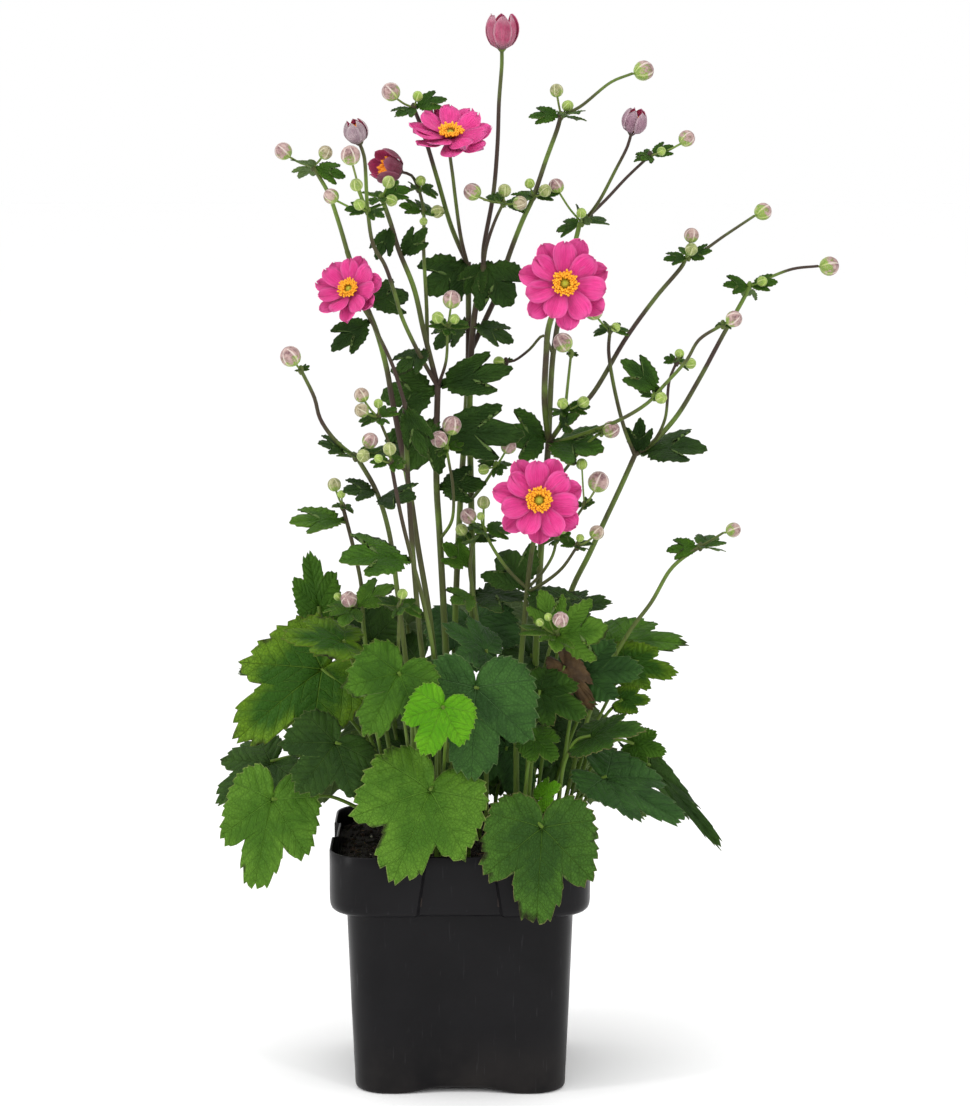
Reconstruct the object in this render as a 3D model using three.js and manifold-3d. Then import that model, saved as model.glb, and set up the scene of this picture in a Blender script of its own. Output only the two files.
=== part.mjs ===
// A potted japanese anemone: a square nursery pot, its soil, fifteen flowering stems, eight blooms
// and the basal leaves. Millimetres, +Z up, front facing -Y, origin at the middle of the pot's
// underside.
import * as THREE from 'three';
import { mergeVertices } from 'three/addons/utils/BufferGeometryUtils.js';
import Module from 'manifold-3d';

const wasm = await Module();
wasm.setup();

// Pot
const potHeight = 178;
const collarBottom = 134;
const collarHalf = 93.5;
const bodyTopHalf = 81.5;
const bodyBottomHalf = 76;
const potCorner = 30;
const wall = 1.6;
const floorThickness = 2.4;
const collarInset = 3.5;
const bodyInset = 4;
const insetHalfWidth = 26;
const footArch = 4;
const drainRadius = 5;
const drainSpacing = 38;

// Soil
const soilTop = 165;
const soilGap = 0.4;
const holeDepth = 18;
const holeGap = 0.6;

// Plant
const bladeThickness = 0.9;
const petalThickness = 0.8;
const pedicelRadius = 0.95;
const budSides = 4;
const knobRadius = 2.9;
const smallestWhorl = 11;
const bractLift = 0.35;
const bractOutline = [[0, 0], [0.3, -0.34], [0.62, -0.5], [1, 0], [0.62, 0.5], [0.3, 0.34]];
const stemLeafDroop = 0.2;
const stemLeafOutline = [[0, 0], [0.16, -0.14], [0.34, -0.46], [0.62, -0.5], [0.58, -0.22], [0.84, -0.24],
  [1, 0], [0.84, 0.24], [0.58, 0.22], [0.62, 0.5], [0.34, 0.46], [0.16, 0.14]];
const lobePoints = [[0, 1], [13, 0.84], [30, 0.6], [51, 0.86], [77, 0.68], [103, 0.62], [129, 0.54],
  [154, 0.36], [180, 0.1]];
const leafTeeth = 14;
const toothDepth = 0.07;
const leafSpan = 1.4;
const leafDroop = 0.1;
const leafMiddle = 0.3;
const leafStalkRadius = 1.5;
const mainStalkFacets = [4, 43];
const branchFacets = [3, 32];
const leafStalkFacets = [3, 36];
const receptacleDepth = 5;
const seatGap = 0.35;
const petalsPerLayer = 7;
const petalRoot = 2.4;
const petalRise = 0.14;
const petalTwist = 0.24;
const petalRows = [[0.38, 0.27], [0.84, 0.27]];
const stamenCount = 10;
const cupPetalCount = 6;
const cupPetalSpread = 1.1;
const cupRows = [[0.38, 0.52], [0.8, 0.5]];

// The stems and leaves are placed as they are seen from the front. A place is [x, depth, height]: x
// and height are read on the upright plane through the pot's middle, and the point then lies on the
// line of sight through it, at its depth in front of (-) or behind (+) that plane.
const viewpoint = new THREE.Vector3(18, -2600, 754);
const leafForward = [0, -1, 0.35];
const leafUpward = [0, -0.45, 0.9];
const leafBackLeft = [-0.5, 0.8, 0.5];
const leafBack = [-0.1, 1, 0.45];
const leafBackRight = [0.5, 0.75, 0.5];

// Where the blooms sit on their stalks, and the way each faces
const seatTop = [-7, -11, 679];
const facingTop = [0.03, -0.55, 0.83];
const seatLeft = [-77, -38, 571];
const facingLeft = [-0.3, -0.82, 0.48];
const seatRight = [75, -43, 577];
const facingRight = [0.02, -0.97, 0.22];
const seatFront = [57, -61, 420];
const facingFront = [0.0, -0.96, 0.28];
const seatTall = [30, 20, 743];
const facingTall = [0, -0.12, 1];
const seatDark = [-41, 2, 658];
const facingDark = [-0.78, -0.5, 0.3];
const seatPaleLeft = [-71, -66, 677];
const facingPaleLeft = [-0.3, -0.3, 0.9];
const seatPaleRight = [122, 17, 684];
const facingPaleRight = [0.25, -0.25, 0.9];

const floweringStems = [
  {
    name: 'stem_tall', foot: [7, 6],
    stalks: [
      [2.5, [[17, 0, 592], [10, 2, 552], [7, 4, 495], [8, 6, 422], [9, 6, 349], [7, 6, 275]]],
      [1.6, [[17, 0, 591], [17, 2, 603], [24, 8, 643], [27, 14, 679], [28, 18, 708],
        [26, 20, 730], seatTall], facingTall],
      [1.3, [[17, 0, 591], [19, -2, 605], [25, -8, 623], [31, -14, 636]]],
      [1.9, [[9, 4, 531], [18, 12, 552], [27, 20, 572], [35, 30, 598], [45, 38, 624], [52, 44, 639],
        [62, 54, 668], [70, 62, 690], [72, 64, 698]]],
      [1.2, [[72, 64, 699], [85, 66, 704], [108, 74, 722], [123, 80, 728]]],
      [1.2, [[8, 6, 422], [17, -8, 433], [26, -16, 447]]],
    ],
    sprays: [
      [[31, -14, 636], 15, 20, [[43, -20, 636, 5.2], [9, -10, 644, 6.4]]],
      [[72, 64, 699], 21, 60, [[69, 60, 716, 5], [131, 84, 730, 7.6]]],
      [[53, 44, 641], 17, 100, []],
      [[26, -16, 447], 13, 40, [[35, -20, 461, 5.8]]],
    ],
    leaves: [
      [[15, 2, 594], [4, -8, 572], 18, leafForward],
      [[19, 2, 594], [44, 12, 588], 50, leafUpward],
      [[12, 2, 549], [39, -6, 541], 25, leafUpward],
      [[9, 6, 354], [46, -16, 356], 37, leafUpward],
    ],
  },
  {
    name: 'stem_top_bloom', foot: [-4, 26],
    stalks: [
      [2.3, [[6, 20, 594], [6, 22, 526], [4, 24, 480], [1, 26, 436], [-2, 26, 378], [-4, 26, 319],
        [-4, 26, 275]]],
      [1.7, [[6, 20, 591], [-6, 18, 619], [-16, 14, 653], [-27, 8, 689], [-33, 6, 704]]],
      [1.4, [[5, 20, 590], [1, 12, 610], [-3, 4, 638], [-5, 0, 655], seatTop], facingTop],
    ],
    sprays: [
      [[-34, 6, 706], 19, 0, [[-49, -2, 715, 6.8]]],
    ],
    leaves: [
      [[4, 18, 594], [-23, 0, 574], 35, leafForward],
      [[5, 20, 554], [-20, 8, 536], 23, leafUpward],
    ],
  },
  {
    name: 'stem_thick', foot: [-8, -6],
    stalks: [
      [2.5, [[-16, -10, 507], [-17, -10, 469], [-17, -8, 431], [-15, -8, 398], [-12, -8, 341],
        [-9, -6, 275]]],
      [2.0, [[-16, -10, 504], [-26, -14, 544], [-33, -18, 575], [-44, -22, 603], [-50, -26, 623],
        [-56, -30, 640]]],
      [1.5, [[-16, -10, 504], [-31, -24, 531], [-42, -34, 555], [-47, -40, 572], [-54, -46, 592],
        [-62, -50, 606], [-66, -54, 631], [-69, -60, 656], seatPaleLeft], facingPaleLeft],
      [1.4, [[-23, -13, 534], [-24, -6, 562], [-26, 4, 603], [-26, 8, 631], [-29, 10, 645]]],
      [1.2, [[-29, 10, 648], [-32, 7, 652], seatDark], facingDark],
      [1.2, [[-16, -10, 504], [-10, -22, 523], [-9, -30, 547]]],
      [1.2, [[-14, -8, 393], [-6, -20, 407], [-5, -26, 429], [-8, -30, 449], [-10, -32, 460]]],
    ],
    sprays: [
      [[-56, -30, 642], 17, 10, []],
      [[-66, -54, 630], 14, 70, [[-92, -50, 641, 5.6], [-78, -76, 670, 7]]],
      [[-29, 10, 647], 13, 20, []],
      [[-26, 8, 630], 16, 80, []],
      [[-9, -30, 547], 14, 30, [[-6, -34, 567, 6.6]]],
      [[-10, -32, 459], 10, 0, [[-6, -36, 476, 7], [-15, -42, 466, 6.2]]],
    ],
    leaves: [
      [[-42, -22, 598], [-26, -34, 617], 15, leafForward],
      [[-52, -28, 617], [-60, -40, 598], 14, leafForward],
      [[-24, -16, 531], [-46, -30, 519], 23, leafUpward],
      [[-16, -8, 505], [33, -30, 519], 26, leafForward],
      [[-17, -8, 502], [-56, 2, 506], 37, leafUpward],
      [[-17, -10, 481], [-36, -28, 449], 31, leafForward],
      [[-17, -10, 471], [38, -42, 473], 35, leafForward],
      [[-17, -10, 431], [14, -26, 435], 23, leafForward],
    ],
  },
  {
    name: 'stem_left', foot: [-17, -22],
    stalks: [
      [2.2, [[-81, -10, 602], [-72, -12, 574], [-60, -14, 544], [-53, -16, 518], [-49, -18, 495],
        [-42, -20, 458], [-36, -22, 425], [-31, -22, 390], [-22, -22, 334], [-17, -22, 275]]],
      [1.6, [[-81, -10, 599], [-87, -4, 623], [-94, 4, 643], [-105, 10, 662]]],
    ],
    sprays: [
      [[-106, 10, 665], 19, 0, [[-126, 4, 673, 6.4], [-96, 2, 672, 5.2]]],
    ],
    leaves: [
      [[-68, -13, 565], [-33, 6, 561], 35, leafUpward],
      [[-41, -20, 455], [-61, -4, 465], 23, leafUpward],
    ],
  },
  {
    name: 'stem_left_bloom', foot: [-24, -38],
    stalks: [
      [2.0, [[-40, -40, 493], [-39, -40, 465], [-37, -40, 422], [-34, -40, 378], [-29, -38, 319],
        [-24, -38, 275]]],
      [1.4, [[-40, -40, 492], [-48, -38, 518], [-58, -32, 540], [-66, -26, 555], seatLeft], facingLeft],
      [1.2, [[-39, -40, 442], [-46, -46, 449], [-52, -52, 465], [-59, -56, 482]]],
    ],
    sprays: [
      [[-59, -56, 484], 14, 40, [[-71, -60, 498, 5.4], [-71, -66, 487, 5.2]]],
    ],
    leaves: [
      [[-65, -27, 552], [-91, -44, 534], 20, leafForward],
      [[-40, -40, 491], [-26, -64, 457], 18, leafForward],
    ],
  },
  {
    name: 'stem_far_left', foot: [-34, -54],
    stalks: [
      [1.9, [[-74, -62, 452], [-61, -60, 429], [-52, -58, 400], [-45, -56, 349], [-38, -54, 289],
        [-35, -54, 260]]],
      [1.5, [[-74, -62, 451], [-90, -66, 465], [-101, -68, 481], [-105, -70, 496], [-115, -74, 517]]],
    ],
    sprays: [
      [[-75, -62, 454], 15, 10, [[-65, -68, 465, 5.8]]],
      [[-115, -74, 516], 5, 0, [[-122, -78, 526, 7.4]]],
    ],
    leaves: [
      [[-82, -64, 457], [-100, -74, 467], 21, leafUpward],
      [[-61, -60, 428], [-83, -70, 433], 25, leafUpward],
      [[-59, -60, 424], [-35, -78, 428], 31, leafUpward],
    ],
  },
  {
    name: 'stem_slender', foot: [-15, -50],
    stalks: [
      [1.6, [[-50, -82, 449], [-43, -80, 411], [-36, -76, 382], [-29, -70, 356], [-20, -60, 312],
        [-16, -52, 267]]],
    ],
    sprays: [
      [[-51, -82, 451], 13, 60, []],
    ],
    leaves: [
      [[-36, -76, 378], [-84, -92, 388], 46, leafUpward],
    ],
  },
  {
    name: 'stem_low_left', foot: [-44, -30],
    stalks: [
      [1.7, [[-85, -16, 417], [-77, -18, 385], [-72, -20, 360], [-70, -18, 324], [-64, -14, 289],
        [-53, -22, 245]]],
      [1.2, [[-72, -20, 359], [-77, -40, 344]]],
    ],
    sprays: [
      [[-88, -16, 423], 8, 30, [[-91, -18, 433, 5]]],
      [[-77, -40, 344], 26, 15, [[-81, -56, 349, 6]]],
    ],
    leaves: [
      [[-82, -17, 407], [-122, -30, 412], 29, leafUpward],
    ],
  },
  {
    name: 'stem_low_centre', foot: [-34, -62],
    stalks: [
      [1.4, [[-44, -80, 344], [-45, -68, 312], [-43, -64, 275], [-38, -62, 237]]],
    ],
    sprays: [
      [[-44, -80, 344], 16, 30, []],
    ],
    leaves: [
    ],
  },
  {
    name: 'stem_right_wide', foot: [52, 16],
    stalks: [
      [2.6, [[64, 10, 466], [62, 12, 436], [59, 14, 393], [56, 16, 334], [54, 16, 275]]],
      [2.1, [[63, 10, 465], [65, 14, 495], [67, 22, 527], [72, 32, 559], [78, 42, 588], [86, 50, 622]]],
      [2.3, [[63, 10, 465], [61, -10, 495], [62, -20, 526], [64, -28, 548], seatRight], facingRight],
      [1.8, [[64, 10, 463], [76, 20, 480], [94, 34, 497], [120, 50, 540], [141, 58, 569],
        [160, 66, 592], [162, 66, 597]]],
      [1.4, [[64, 10, 462], [83, 4, 468], [115, -10, 480], [136, -20, 493], [146, -24, 504],
        [163, -30, 523], [172, -34, 538], [189, -40, 549]]],
      [1.3, [[86, 50, 621], [92, 44, 627], [100, 36, 638], [111, 28, 659],
        [117, 22, 676], seatPaleRight], facingPaleRight],
      [1.3, [[87, 50, 620], [104, 60, 638], [120, 70, 655], [136, 76, 670]]],
      [1.2, [[164, 66, 597], [171, 68, 600], [190, 76, 613], [211, 84, 627]]],
      [1.3, [[64, 10, 463], [72, -2, 476], [76, -8, 487]]],
      [1.1, [[76, -8, 486], [78, -10, 509], [80, -12, 528]]],
      [1.1, [[65, 14, 529], [60, 16, 541], [50, 18, 531], [39, 20, 523], [33, 20, 522]]],
      [1.2, [[61, 12, 422], [76, 6, 444], [94, 0, 465], [102, -2, 471]]],
      [1.2, [[59, 14, 389], [77, 2, 400], [90, -4, 418]]],
    ],
    sprays: [
      [[87, 50, 623], 19, 40, [[69, 44, 648, 5.8]]],
      [[138, 76, 673], 15, 10, [[162, 80, 682, 6.2]]],
      [[164, 66, 598], 17, 80, [[166, 62, 613, 5.6], [217, 88, 630, 6.6]]],
      [[191, -41, 551], 6, 20, [[197, -44, 553, 6]]],
      [[141, -22, 496], 10, 60, []],
      [[76, -8, 487], 14, 0, []],
      [[80, -12, 528], 4, 0, [[74, -14, 536, 7.2]]],
      [[33, 20, 522], 4, 0, []],
      [[103, -2, 472], 6, 0, [[109, -4, 473, 6.4]]],
      [[90, -4, 419], 8, 50, [[100, -8, 435, 7.8]]],
    ],
    leaves: [
      [[144, -24, 500], [120, -34, 523], 20, leafForward],
      [[64, 10, 465], [101, -12, 465], 46, leafUpward],
      [[64, 10, 468], [34, -6, 484], 35, leafUpward],
      [[67, -6, 474], [78, -30, 483], 17, leafForward],
    ],
  },
  {
    name: 'stem_far_right', foot: [64, 40],
    stalks: [
      [2.3, [[127, 60, 456], [116, 56, 431], [104, 52, 405], [93, 48, 381], [81, 46, 356],
        [71, 42, 319], [67, 40, 275]]],
      [1.5, [[127, 60, 454], [118, 48, 476], [110, 40, 509], [107, 36, 531], [108, 34, 545]]],
      [1.9, [[127, 60, 455], [134, 62, 459], [155, 70, 481], [172, 78, 509], [189, 88, 541],
        [205, 96, 570], [208, 98, 577]]],
      [1.2, [[134, 62, 459], [141, 54, 466], [148, 46, 481], [151, 40, 509], [156, 38, 522]]],
      [1.2, [[208, 98, 578], [220, 102, 582], [239, 110, 589], [257, 116, 591]]],
    ],
    sprays: [
      [[109, 34, 548], 13, 30, [[96, 28, 559, 7]]],
      [[156, 38, 523], 10, 30, []],
      [[208, 98, 577], 19, 90, [[265, 118, 591, 7.4]]],
    ],
    leaves: [
      [[130, 60, 457], [175, 50, 468], 39, leafUpward],
      [[128, 60, 455], [130, 40, 476], 17, leafForward],
    ],
  },
  {
    name: 'stem_arching_right', foot: [73, -14],
    stalks: [
      [1.7, [[173, 20, 387], [161, 16, 379], [152, 12, 370], [139, 6, 347], [125, 0, 328],
        [111, -4, 304], [98, -10, 275], [86, -14, 237]]],
      [1.0, [[173, 20, 387], [183, 20, 393], [191, 20, 398]]],
    ],
    sprays: [
      [[174, 20, 388], 22, 60, [[198, 20, 400, 5.6]]],
    ],
    leaves: [
    ],
  },
  {
    name: 'stem_front_bloom', foot: [41, -16],
    stalks: [
      [2.2, [[49, -22, 360], [46, -20, 326], [43, -18, 289], [41, -16, 252]]],
      [1.9, [[49, -22, 359], [51, -28, 378], [54, -36, 396], seatFront], facingFront],
      [1.3, [[49, -22, 357], [39, -22, 366], [30, -20, 377], [22, -18, 390], [17, -16, 400]]],
      [1.2, [[49, -22, 357], [59, -12, 368], [67, -6, 381], [70, -4, 393]]],
      [1.3, [[49, -22, 354], [62, -30, 362], [74, -36, 372], [85, -40, 388]]],
    ],
    sprays: [
      [[16, -16, 401], 17, 20, [[6, -22, 410, 6]]],
      [[86, -40, 390], 12, 50, [[99, -44, 398, 5.4]]],
      [[70, -4, 394], 9, 10, []],
    ],
    leaves: [
      [[49, -22, 356], [29, -8, 387], 38, leafForward],
      [[50, -22, 357], [84, -46, 341], 35, leafUpward],
    ],
  },
  {
    name: 'stem_low_right', foot: [47, -26],
    stalks: [
      [1.6, [[70, -56, 323], [65, -36, 312], [60, -14, 292], [52, -22, 260]]],
    ],
    sprays: [
      [[70, -56, 325], 27, 30, [[73, -76, 334, 5.8]]],
    ],
    leaves: [
    ],
  },
  {
    name: 'stem_mid', foot: [19, -14],
    stalks: [
      [1.7, [[9, -14, 391], [7, -12, 374], [10, -10, 349], [14, -12, 319], [18, -14, 275]]],
    ],
    sprays: [
      [[9, -14, 393], 15, 20, []],
    ],
    leaves: [
      [[7, -12, 373], [-10, -26, 389], 18, leafForward],
      [[9, -10, 352], [-6, -20, 349], 27, leafUpward],
    ],
  },
];
const openBlooms = [
  { name: 'top', seat: seatTop, radius: 31, facing: facingTop },
  { name: 'left', seat: seatLeft, radius: 26, facing: facingLeft },
  { name: 'right', seat: seatRight, radius: 33, facing: facingRight },
  { name: 'front', seat: seatFront, radius: 33, facing: facingFront },
];
const halfOpenBlooms = [
  { name: 'tall', seat: seatTall, radius: 12.5, height: 27, facing: facingTall },
  { name: 'dark', seat: seatDark, radius: 12, height: 23, facing: facingDark },
  { name: 'pale_left', seat: seatPaleLeft, radius: 9.5, height: 19, facing: facingPaleLeft },
  { name: 'pale_right', seat: seatPaleRight, radius: 10.5, height: 20, facing: facingPaleRight },
];
const basalLeaves = [
  {
    name: 'front_left_low', base: [-138, -70, 201], tip: [-152, -96, 136], width: 67, facing: leafForward,
    foot: [-44, -52], stalk: [[-118, -70, 200], [-96, -66, 203]],
  },
  {
    name: 'left_drooping', base: [-139, -26, 229], tip: [-179, -40, 202], width: 64, facing: leafUpward,
    foot: [-46, -36], stalk: [[-117, -26, 233], [-81, -30, 219]],
  },
  {
    name: 'front_centre', base: [-22, -84, 208], tip: [-49, -112, 142], width: 90, facing: leafForward,
    foot: [-25, -57], stalk: [[-19, -70, 212]],
  },
  {
    name: 'front_right', base: [60, -90, 180], tip: [56, -122, 110], width: 81, facing: leafForward,
    foot: [29, -54], stalk: [[47, -70, 191]],
  },
  {
    name: 'left_dark', base: [-91, -66, 243], tip: [-118, -90, 208], width: 69, facing: leafForward,
    foot: [-41, -72], stalk: [[-76, -70, 236]],
  },
  {
    name: 'left_broad', base: [-101, -28, 298], tip: [-164, -42, 248], width: 85, facing: leafForward,
    foot: [-50, -46], stalk: [[-84, -32, 282], [-60, -42, 230]],
  },
  {
    name: 'centre_left', base: [-45, -84, 295], tip: [-68, -102, 250], width: 63, facing: leafForward,
    foot: [-30, -66], stalk: [[-38, -76, 282], [-31, -66, 237]],
  },
  {
    name: 'centre_bright', base: [-13, -102, 270], tip: [-27, -114, 235], width: 49, facing: leafForward,
    foot: [-17, -62], stalk: [[-10, -98, 263], [-11, -84, 243], [-12, -68, 226]],
  },
  {
    name: 'centre_dark', base: [11, -74, 284], tip: [8, -90, 217], width: 85, facing: leafForward,
    foot: [4, -60], stalk: [[16, -66, 281], [13, -60, 230]],
  },
  {
    name: 'left_upright', base: [-103, -4, 344], tip: [-110, 2, 383], width: 34, facing: leafForward,
    foot: [-52, -20], stalk: [[-98, -8, 312], [-73, -14, 260]],
  },
  {
    name: 'left_upper', base: [-85, -60, 319], tip: [-128, -70, 325], width: 48, facing: leafUpward,
    foot: [-50, -58], stalk: [[-79, -56, 304], [-60, -56, 245]],
  },
  {
    name: 'far_left', base: [-117, 4, 295], tip: [-161, -2, 299], width: 35, facing: leafUpward,
    foot: [-47, -6], stalk: [[-102, 2, 282], [-69, -4, 245]],
  },
  {
    name: 'left_back', base: [-64, 14, 319], tip: [-103, 20, 344], width: 50, facing: leafForward,
    foot: [-36, 10], stalk: [[-56, 12, 289]],
  },
  {
    name: 'centre_upper', base: [19, -45, 312], tip: [-10, -50, 332], width: 50, facing: leafUpward,
    foot: [6, -36], stalk: [[20, -42, 289]],
  },
  {
    name: 'right_upper', base: [74, 10, 340], tip: [107, 6, 351], width: 41, facing: leafUpward,
    foot: [54, -2], stalk: [[70, 8, 304]],
  },
  {
    name: 'right_far_upper', base: [110, 24, 319], tip: [163, 16, 322], width: 54, facing: leafUpward,
    foot: [64, 14], stalk: [[102, 22, 297], [80, 16, 245]],
  },
  {
    name: 'right_dark', base: [89, -24, 295], tip: [131, -34, 298], width: 46, facing: leafForward,
    foot: [69, -27], stalk: [[83, -24, 275]],
  },
  {
    name: 'right_light', base: [119, -2, 303], tip: [157, -12, 295], width: 34, facing: leafForward,
    foot: [77, 0], stalk: [[111, -4, 282], [92, 0, 241]],
  },
  {
    name: 'right_small', base: [118, -28, 275], tip: [138, -34, 275], width: 21, facing: leafForward,
    foot: [83, -4], stalk: [[106, -20, 263], [93, -8, 233]],
  },
  {
    name: 'right_mid', base: [95, -48, 248], tip: [131, -66, 258], width: 46, facing: leafUpward,
    foot: [70, -50], stalk: [[85, -50, 245], [76, -50, 227]],
  },
  {
    name: 'right_edge', base: [127, -10, 242], tip: [149, -20, 236], width: 29, facing: leafForward,
    foot: [78, -19], stalk: [[114, -10, 245], [95, -14, 223]],
  },
  {
    name: 'right_dark_low', base: [58, -38, 282], tip: [90, -60, 264], width: 40, facing: leafForward,
    foot: [48, -44], stalk: [[55, -42, 260]],
  },
  {
    name: 'centre_right_low', base: [54, -56, 246], tip: [71, -64, 232], width: 37, facing: leafUpward,
    foot: [44, -56], stalk: [[50, -57, 229]],
  },
  {
    name: 'right_drooping', base: [107, -44, 218], tip: [164, -60, 188], width: 58, facing: leafUpward,
    foot: [77, -34], stalk: [[95, -42, 212]],
  },
  {
    name: 'right_narrow', base: [139, 2, 226], tip: [195, -8, 169], width: 23, facing: leafUpward,
    foot: [79, -27], stalk: [[121, 0, 233], [102, -14, 215]],
  },
  {
    name: 'soil_bright', base: [59, -62, 202], tip: [71, -66, 213], width: 33, facing: leafUpward,
    foot: [58, -62], stalk: [[59, -62, 196]],
  },
];

// The leaves at the back; where a foot bears two blades, the second's stalk leaves the first's.
const backLeaves = [
  {
    name: 'back_left', foot: [-34, 36],
    blades: [
      {
        base: [-50, 62, 273], tip: [-94, 92, 231], width: 84, facing: leafBackLeft,
        stalk: [[-43, 50, 230]],
      },
      {
        base: [-71, 42, 234], tip: [-117, 58, 202], width: 72, facing: leafBackLeft,
        stalk: [[-55, 44, 223], [-39, 42, 205]],
      },
    ],
  },
  {
    name: 'back_middle', foot: [6, 52],
    blades: [
      {
        base: [8, 74, 269], tip: [3, 108, 218], width: 92, facing: leafBack,
        stalk: [[8, 64, 233]],
      },
      {
        base: [-27, 80, 222], tip: [-41, 110, 184], width: 74, facing: leafBack,
        stalk: [[-13, 72, 221], [7, 60, 211]],
      },
    ],
  },
  {
    name: 'back_right', foot: [34, 52],
    blades: [
      {
        base: [61, 84, 277], tip: [97, 112, 236], width: 84, facing: leafBackRight,
        stalk: [[42, 62, 236]],
      },
      {
        base: [93, 50, 228], tip: [137, 66, 194], width: 74, facing: leafBackRight,
        stalk: [[71, 56, 223], [41, 58, 210]],
      },
    ],
  },
  {
    name: 'back_high_left', foot: [-22, 50],
    blades: [
      {
        base: [-39, 48, 334], tip: [-81, 72, 308], width: 72, facing: leafBackLeft,
        stalk: [[-29, 50, 260]],
      },
    ],
  },
  {
    name: 'back_high_right', foot: [26, 58],
    blades: [
      {
        base: [26, 66, 341], tip: [55, 100, 313], width: 72, facing: leafBackRight,
        stalk: [[25, 56, 263]],
      },
    ],
  },
];

// A small repeatable sequence of numbers from 0 to 1.
function seededDraws(seed) {
  let state = seed;
  return () => {
    state = (state * 16807) % 2147483647;
    return state / 2147483647;
  };
}

// A place as seen from the front becomes a point in space.
function seen([x, depth, height]) {
  const reach = 1 - depth / viewpoint.y;
  return new THREE.Vector3(
    viewpoint.x + (x - viewpoint.x) * reach,
    depth,
    viewpoint.z + (height - viewpoint.z) * reach,
  );
}

// A closed solid from its points and its triangles of point numbers.
function solidOfFaces(points, faces) {
  const vertProperties = new Float32Array(points.flatMap((p) => [p.x, p.y, p.z]));
  const triVerts = new Uint32Array(faces.flat());
  return new wasm.Manifold(new wasm.Mesh({ numProp: 3, vertProperties, triVerts }));
}

// A closed geometry as a solid, with shared points merged and collapsed triangles left out.
function solidOf(geometry) {
  geometry.deleteAttribute('normal');
  geometry.deleteAttribute('uv');
  const merged = mergeVertices(geometry);
  const corners = merged.index.array;
  const points = [];
  for (let i = 0; i < merged.attributes.position.count; i += 1) {
    points.push(new THREE.Vector3().fromBufferAttribute(merged.attributes.position, i));
  }
  const faces = [];
  for (let i = 0; i < corners.length; i += 3) {
    const [a, b, c] = [corners[i], corners[i + 1], corners[i + 2]];
    if (a !== b && b !== c && c !== a) faces.push([a, b, c]);
  }
  return solidOfFaces(points, faces);
}

function joined(solids) {
  return solids.reduce((whole, next) => whole.add(next));
}

function meshOf(name, solid, material) {
  const { vertProperties, triVerts } = solid.getMesh();
  const geometry = new THREE.BufferGeometry();
  geometry.setAttribute('position', new THREE.BufferAttribute(vertProperties, 3));
  geometry.setIndex(new THREE.BufferAttribute(triVerts, 1));
  geometry.computeVertexNormals();
  const mesh = new THREE.Mesh(geometry, material);
  mesh.name = name;
  return mesh;
}

// A closed skin over rings with equal numbers of points, from one pole to the other.
function loft(startPole, rings, endPole) {
  const count = rings[0].length;
  const points = [startPole, ...rings.flat(), endPole];
  const at = (ring, i) => 1 + ring * count + (i % count);
  const faces = [];
  for (let i = 0; i < count; i += 1) {
    faces.push([0, at(0, i + 1), at(0, i)]);
    faces.push([points.length - 1, at(rings.length - 1, i), at(rings.length - 1, i + 1)]);
    for (let ring = 0; ring < rings.length - 1; ring += 1) {
      faces.push([at(ring, i), at(ring, i + 1), at(ring + 1, i)]);
      faces.push([at(ring, i + 1), at(ring + 1, i + 1), at(ring + 1, i)]);
    }
  }
  return solidOfFaces(points, faces);
}

function stepsAlong(route, stepLength) {
  return Math.max(2, Math.round(route.getLength() / stepLength));
}

// A stalk of even thickness along a smooth route.
function stalkAlong(points, radius, sides, stepLength) {
  const route = new THREE.CatmullRomCurve3(points);
  const section = new THREE.Shape();
  for (let i = 0; i < sides; i += 1) {
    const angle = (2 * Math.PI * i) / sides;
    const corner = [radius * Math.cos(angle), radius * Math.sin(angle)];
    if (i === 0) section.moveTo(...corner);
    else section.lineTo(...corner);
  }
  const steps = stepsAlong(route, stepLength);
  return solidOf(new THREE.ExtrudeGeometry(section, { steps, extrudePath: route, bevelEnabled: false }));
}

// A solid of revolution about an axis through a point; the profile holds [radius, height] pairs.
function turned(profile, segments, point, axis) {
  const geometry = new THREE.LatheGeometry(profile.map(([r, h]) => new THREE.Vector2(r, h)), segments);
  const turn = new THREE.Quaternion().setFromUnitVectors(new THREE.Vector3(0, 1, 0), axis);
  geometry.applyQuaternion(turn);
  geometry.translate(point.x, point.y, point.z);
  return solidOf(geometry);
}

// A thin solid whose two faces fan out from a middle point each and share their rim.
function fanned(rim, upper, lower) {
  const faces = [];
  for (let i = 0; i < rim.length; i += 1) {
    const next = (i + 1) % rim.length;
    faces.push([i, next, rim.length], [next, i, rim.length + 1]);
  }
  return solidOfFaces([...rim, upper, lower], faces);
}

// Distance from a basal leaf's base to its rim, for the angle away from its tip in degrees and a leaf
// of length 1: a long middle lobe, a lobe to each side, and a heart-shaped base.
function leafRim(angle) {
  const turn = Math.abs(angle);
  const next = Math.max(1, lobePoints.findIndex(([bound]) => bound >= turn));
  const [low, high] = [lobePoints[next - 1], lobePoints[next]];
  const lobe = THREE.MathUtils.lerp(low[1], high[1], (turn - low[0]) / (high[0] - low[0]));
  return lobe * (1 + toothDepth * Math.cos(THREE.MathUtils.degToRad(angle * leafTeeth)));
}

// The directions of a blade: along it, across it, and out of its upper face.
function bladeDirections(along, facing) {
  const normal = new THREE.Vector3(...facing);
  normal.addScaledVector(along, -normal.dot(along)).normalize();
  return [new THREE.Vector3().crossVectors(normal, along), normal];
}

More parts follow.
